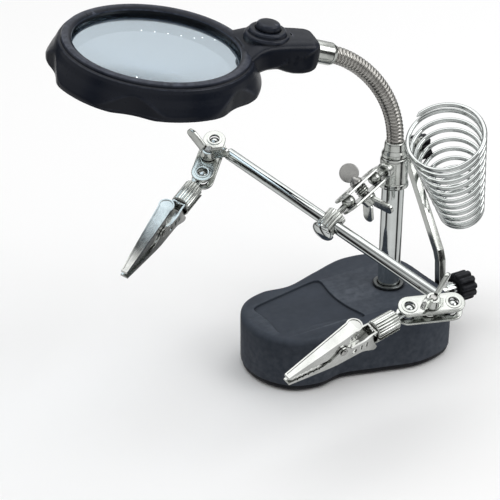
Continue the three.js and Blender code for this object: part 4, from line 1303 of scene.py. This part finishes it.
def head_cover_shape(blank, ferrule_hole):
    upper = block(-80, 80, -60, 60, PARTING - 0.1, 30)
    return without(blank, upper, rod_z(LENS_RADIUS - 1.5, -30, 0, 180), ferrule_hole)


def lens():
    rim_half, bulge, steps = 1.0, 2.2, 20
    def face(side):
        radii = [LENS_RADIUS * i / steps for i in range(steps + 1)]
        line = [(r, side * (rim_half + bulge * (1 - (r / LENS_RADIUS) ** 2))) for r in radii]
        return line if side < 0 else line[::-1]
    return shifted(lathe(face(-1) + face(1), 144), 0, 0, -LENS_DROP)


def lamp_ring():
    """The lamp board under the lens edge, its lamps facing down to the work."""
    shape = tube(LENS_RADIUS - 1, LENS_RADIUS + 1.8, -5.6, -4.6, 0.15, 144)
    count, lamps_at = 12, LENS_RADIUS + 0.4
    lamp = lathe(dome(1.2, -6.2, 1.0) + [(1.2, -5), (0, -5)], 24)
    for i in range(count):
        angle = 2 * pi * (i + 0.5) / count
        shape = union(shape, shifted(lamp, lamps_at * cos(angle), lamps_at * sin(angle), 0))
    return shape


def add_head():
    hole = along_x(rod_z(4.9, -9, 20)).moved(HEAD.inverted() @ FERRULE_PLACE)
    blank = head_blank()
    dress("magnifier_frame", head_frame_shape(blank, hole), HEAD, HEAD_PLASTIC, 28)
    dress("magnifier_cover", head_cover_shape(blank, hole), HEAD, HEAD_PLASTIC, 28)
    dress("magnifier_lens", lens(), HEAD, GLASS, 50)
    dress("lamp_ring", lamp_ring(), HEAD, LAMP_WHITE)
    button = turned([
        (0, 2.6), (SWITCH["button"], 2.6), (SWITCH["button"], 9.4), (4.2, 10.7), (2.4, 10.95), (0, 11.1),
    ], 0.9, 72)
    dress("switch_button", shifted(button, SWITCH["x"], 0, 0), HEAD, HEAD_PLASTIC)
    end, radius = FERRULE["end"], FERRULE["radius"]
    ferrule = turned([
        (0, -7), (radius, -7), (radius, end - 1.6), (radius - 0.7, end), (3.3, end, 0.1), (0, end),
    ], 0.4, 72)
    dress("neck_ferrule", along_x(ferrule), FERRULE_PLACE, NICKEL)


# ---- gooseneck
# "rise" and "lead" say how far it runs straight at its ends, "soft" how far a bend reaches to both sides.
NECK = {"radius": 3.6, "groove": 0.5, "pitch": 1.55, "rise": 21, "lead": 13, "soft": 9}
RIB_STEPS = 10  # rings of points to a rib


def neck_path():
    """The neck rises straight from its socket and runs into the ferrule along the ferrule's axis."""
    start = Vector((0, 0, SOCKET_HIGH))
    end = FERRULE_PLACE @ Vector((FERRULE["end"], 0, 0))
    lean = FERRULE_PLACE.to_3x3() @ Vector((1, 0, 0))
    knots = [start - UP * 0.5, start + UP * NECK["rise"], end + lean * NECK["lead"], end - lean * 0.5]
    steps = 600
    coarse = []
    for i in range(steps + 1):
        t = i / steps
        weights = ((1 - t) ** 3, 3 * t * (1 - t) ** 2, 3 * t * t * (1 - t), t ** 3)
        coarse.append(sum((k * w for k, w in zip(knots, weights)), Vector((0, 0, 0))))
    lengths = [0.0]
    for a, b in zip(coarse, coarse[1:]):
        lengths.append(lengths[-1] + (b - a).length)
    count = ceil(lengths[-1] / NECK["pitch"] * RIB_STEPS)
    path, j = [], 0
    for i in range(count + 1):
        goal = lengths[-1] * i / count
        while j < len(coarse) - 2 and lengths[j + 1] < goal:
            j += 1
        share = (goal - lengths[j]) / (lengths[j + 1] - lengths[j])
        path.append(coarse[j].lerp(coarse[j + 1], share))
    return path


def rib(i, angle):
    """The neck's radius: one groove that winds round it."""
    phase = i / RIB_STEPS + angle / (2 * pi)
    return NECK["radius"] - NECK["groove"] * abs(cos(pi * phase)) ** 5


def add_neck():
    """Two halves of one ribbed tube, split midway between the neck's two joints so that each spans one of
    them.
    """
    path = neck_path()
    frames = parallel_frames(path)
    bends = [
        min(range(len(path)), key=lambda i: (path[i] - at(joint)).length)
        for joint in ("neck_bend_lower", "neck_bend_upper")
    ]
    middle, last = sum(bends) // 2, len(path) - 1
    halves = (
        ("lower", 0, middle, bends[0], ("stand", "neck"), ("lower", "middle")),
        ("upper", middle, last, bends[1], ("neck", "head"), ("upper",)),
    )
    for name, start, end, bend, bodies, nodes in halves:
        part = slice(start, end + 1)
        rows = rings_round(path[part], frames[part], rib, 40, start)
        piece = make(f"gooseneck_tube_{name}", clean(skin(rows)), WORLD, NECK_STEEL, 70)
        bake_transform(piece)
        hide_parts(*[f"gooseneck_{node}" for node in nodes])


# ---- stage
# What bright metal sees round it, by compass direction as a share of a turn: white walls with dark flags.
FLAGS = [
    (0.000, 0.85), (0.050, 0.95), (0.068, 0.03), (0.105, 0.03), (0.125, 0.75), (0.240, 1.0), (0.375, 0.9),
    (0.392, 0.03), (0.432, 0.03), (0.450, 0.8), (0.560, 0.95), (0.600, 0.12), (0.640, 0.12), (0.665, 0.9),
    (0.820, 0.95), (0.850, 0.08), (0.890, 0.08), (0.910, 0.8),
]


def flags(nodes, x, y):
    turn = nodes.math("DIVIDE", nodes.math("ARCTAN2", y, x), 2 * pi)
    return nodes.ramp(nodes.plus(turn, 0.5), FLAGS)


def seen_plain(nodes, path):
    """1 where the camera looks, straight or through the lens, and 0 for every other ray."""
    return nodes.larger(path["Is Camera Ray"], path["Is Transmission Ray"])


def add_floor():
    """A white floor. The camera sees it plain, bright metal sees the flags in it too."""
    half = 4.0
    corners = [(-half, -half, 0), (half, -half, 0), (half, half, 0), (-half, half, 0)]
    floor = meshed("floor", corners, [(0, 1, 2, 3)])
    paint = bpy.data.materials.new("floor_paint")
    paint.use_nodes = True
    nodes = Nodes(paint.node_tree)
    path = nodes.node("ShaderNodeLightPath").outputs
    seen = seen_plain(nodes, path)
    tone = nodes.blend(seen, (0.30, 0.30, 0.31), (0.94, 0.94, 0.94))
    matt = nodes.use("ShaderNodeBsdfDiffuse", {"Color": tone})
    looking = nodes.split(nodes.node("ShaderNodeNewGeometry").outputs["Incoming"])
    away = [nodes.times(looking[i], -1.0) for i in (0, 1)]
    glow = nodes.use("ShaderNodeEmission", {"Strength": nodes.times(flags(nodes, *away), 0.8)})
    glossy = nodes.times(path["Is Glossy Ray"], nodes.minus(1.0, seen))
    nodes.join(nodes.mixed(glossy, matt, glow), nodes.node("ShaderNodeOutputMaterial").inputs[0])
    floor.data.materials.append(paint)


# How bright the studio is by height, from straight down (0) to straight up (1), as (height, tone) stops.
METAL_SEES = [(0.0, 1.0), (0.47, 0.9), (0.50, 0.06), (0.56, 0.08), (0.61, 0.9), (0.80, 1.0), (0.88, 0.25),
              (0.93, 0.3), (1.0, 0.9)]
NO_FLAGS_ABOVE = [(0.74, 0.0), (0.80, 1.0)]
SOFT_LIGHT = [(0.0, 0.05), (0.5, 0.05), (0.7, 0.35), (1.0, 1.2)]
BACKGROUND = 1.05


def add_world():
    """An even white studio. Bright metal also sees dark flags in it, which draw its streaks."""
    world = bpy.data.worlds.new("studio")
    bpy.context.scene.world = world
    world.use_nodes = True
    nodes = Nodes(world.node_tree)
    x, y, z = nodes.split(nodes.node("ShaderNodeTexCoord").outputs["Generated"])
    height = nodes.plus(nodes.times(z, 0.5), 0.5)
    round_about = nodes.larger(flags(nodes, x, y), nodes.ramp(height, NO_FLAGS_ABOVE))
    shiny = nodes.times(round_about, nodes.ramp(height, METAL_SEES))
    path = nodes.node("ShaderNodeLightPath").outputs
    matt = nodes.times(nodes.ramp(height, SOFT_LIGHT), nodes.minus(1.0, path["Is Glossy Ray"]))
    strength = nodes.plus(nodes.times(shiny, path["Is Glossy Ray"]), matt)
    strength = nodes.larger(strength, nodes.times(seen_plain(nodes, path), BACKGROUND))
    light = nodes.use("ShaderNodeBackground", {"Strength": strength})
    nodes.join(light, nodes.node("ShaderNodeOutputWorld").inputs[0])


def aimed(name, data, place, look):
    """A light or a camera at a place, looking along a direction."""
    made = linked(name, data)
    made.location = place
    made.rotation_mode = "QUATERNION"
    made.rotation_quaternion = look.to_track_quat("-Z", "Y")
    return made


def add_light(name, place, target, size, power):
    data = bpy.data.lights.new(name, "AREA")
    data.shape = "RECTANGLE"
    data.size, data.size_y = size
    data.energy = power
    aimed(name, data, place, Vector(target) - Vector(place))


def add_camera():
    """A level view from the front, looking 28 degrees down on the object's middle."""
    middle = Vector((-0.0596, 0, 0.0407))
    tilt = radians(28)
    distance = 0.6604
    data = bpy.data.cameras.new("camera")
    data.sensor_width = 36
    data.lens = 111.6
    look = Vector((0, cos(tilt), -sin(tilt)))
    bpy.context.scene.camera = aimed("camera", data, middle - look * distance, look)


# ---- the whole
add_base()
add_post()
add_clamp("centre", "centre_swing", "block_roll", "centre_nut_turn", 1.66, spade=True)
add_rod()
add_clamp("left", "left_plates_turn", "left_clip_swing", "left_nut_turn", 1.23)
add_clamp("right", "right_plates_turn", "right_clip_swing", "right_nut_turn", 0.77)
for side in ("left", "right"):
    add_clip(side)
add_holder()
add_head()
add_neck()
add_floor()
add_world()
add_light("key", (-0.15, 0.35, 1.35), (0, 0, 0.05), (2.4, 1.2), 10.5)
add_light("fill", (0.9, -0.3, 0.9), (0, 0, 0.08), (0.7, 0.7), 4)
add_camera()
bpy.context.scene.view_settings.view_transform = "Standard"
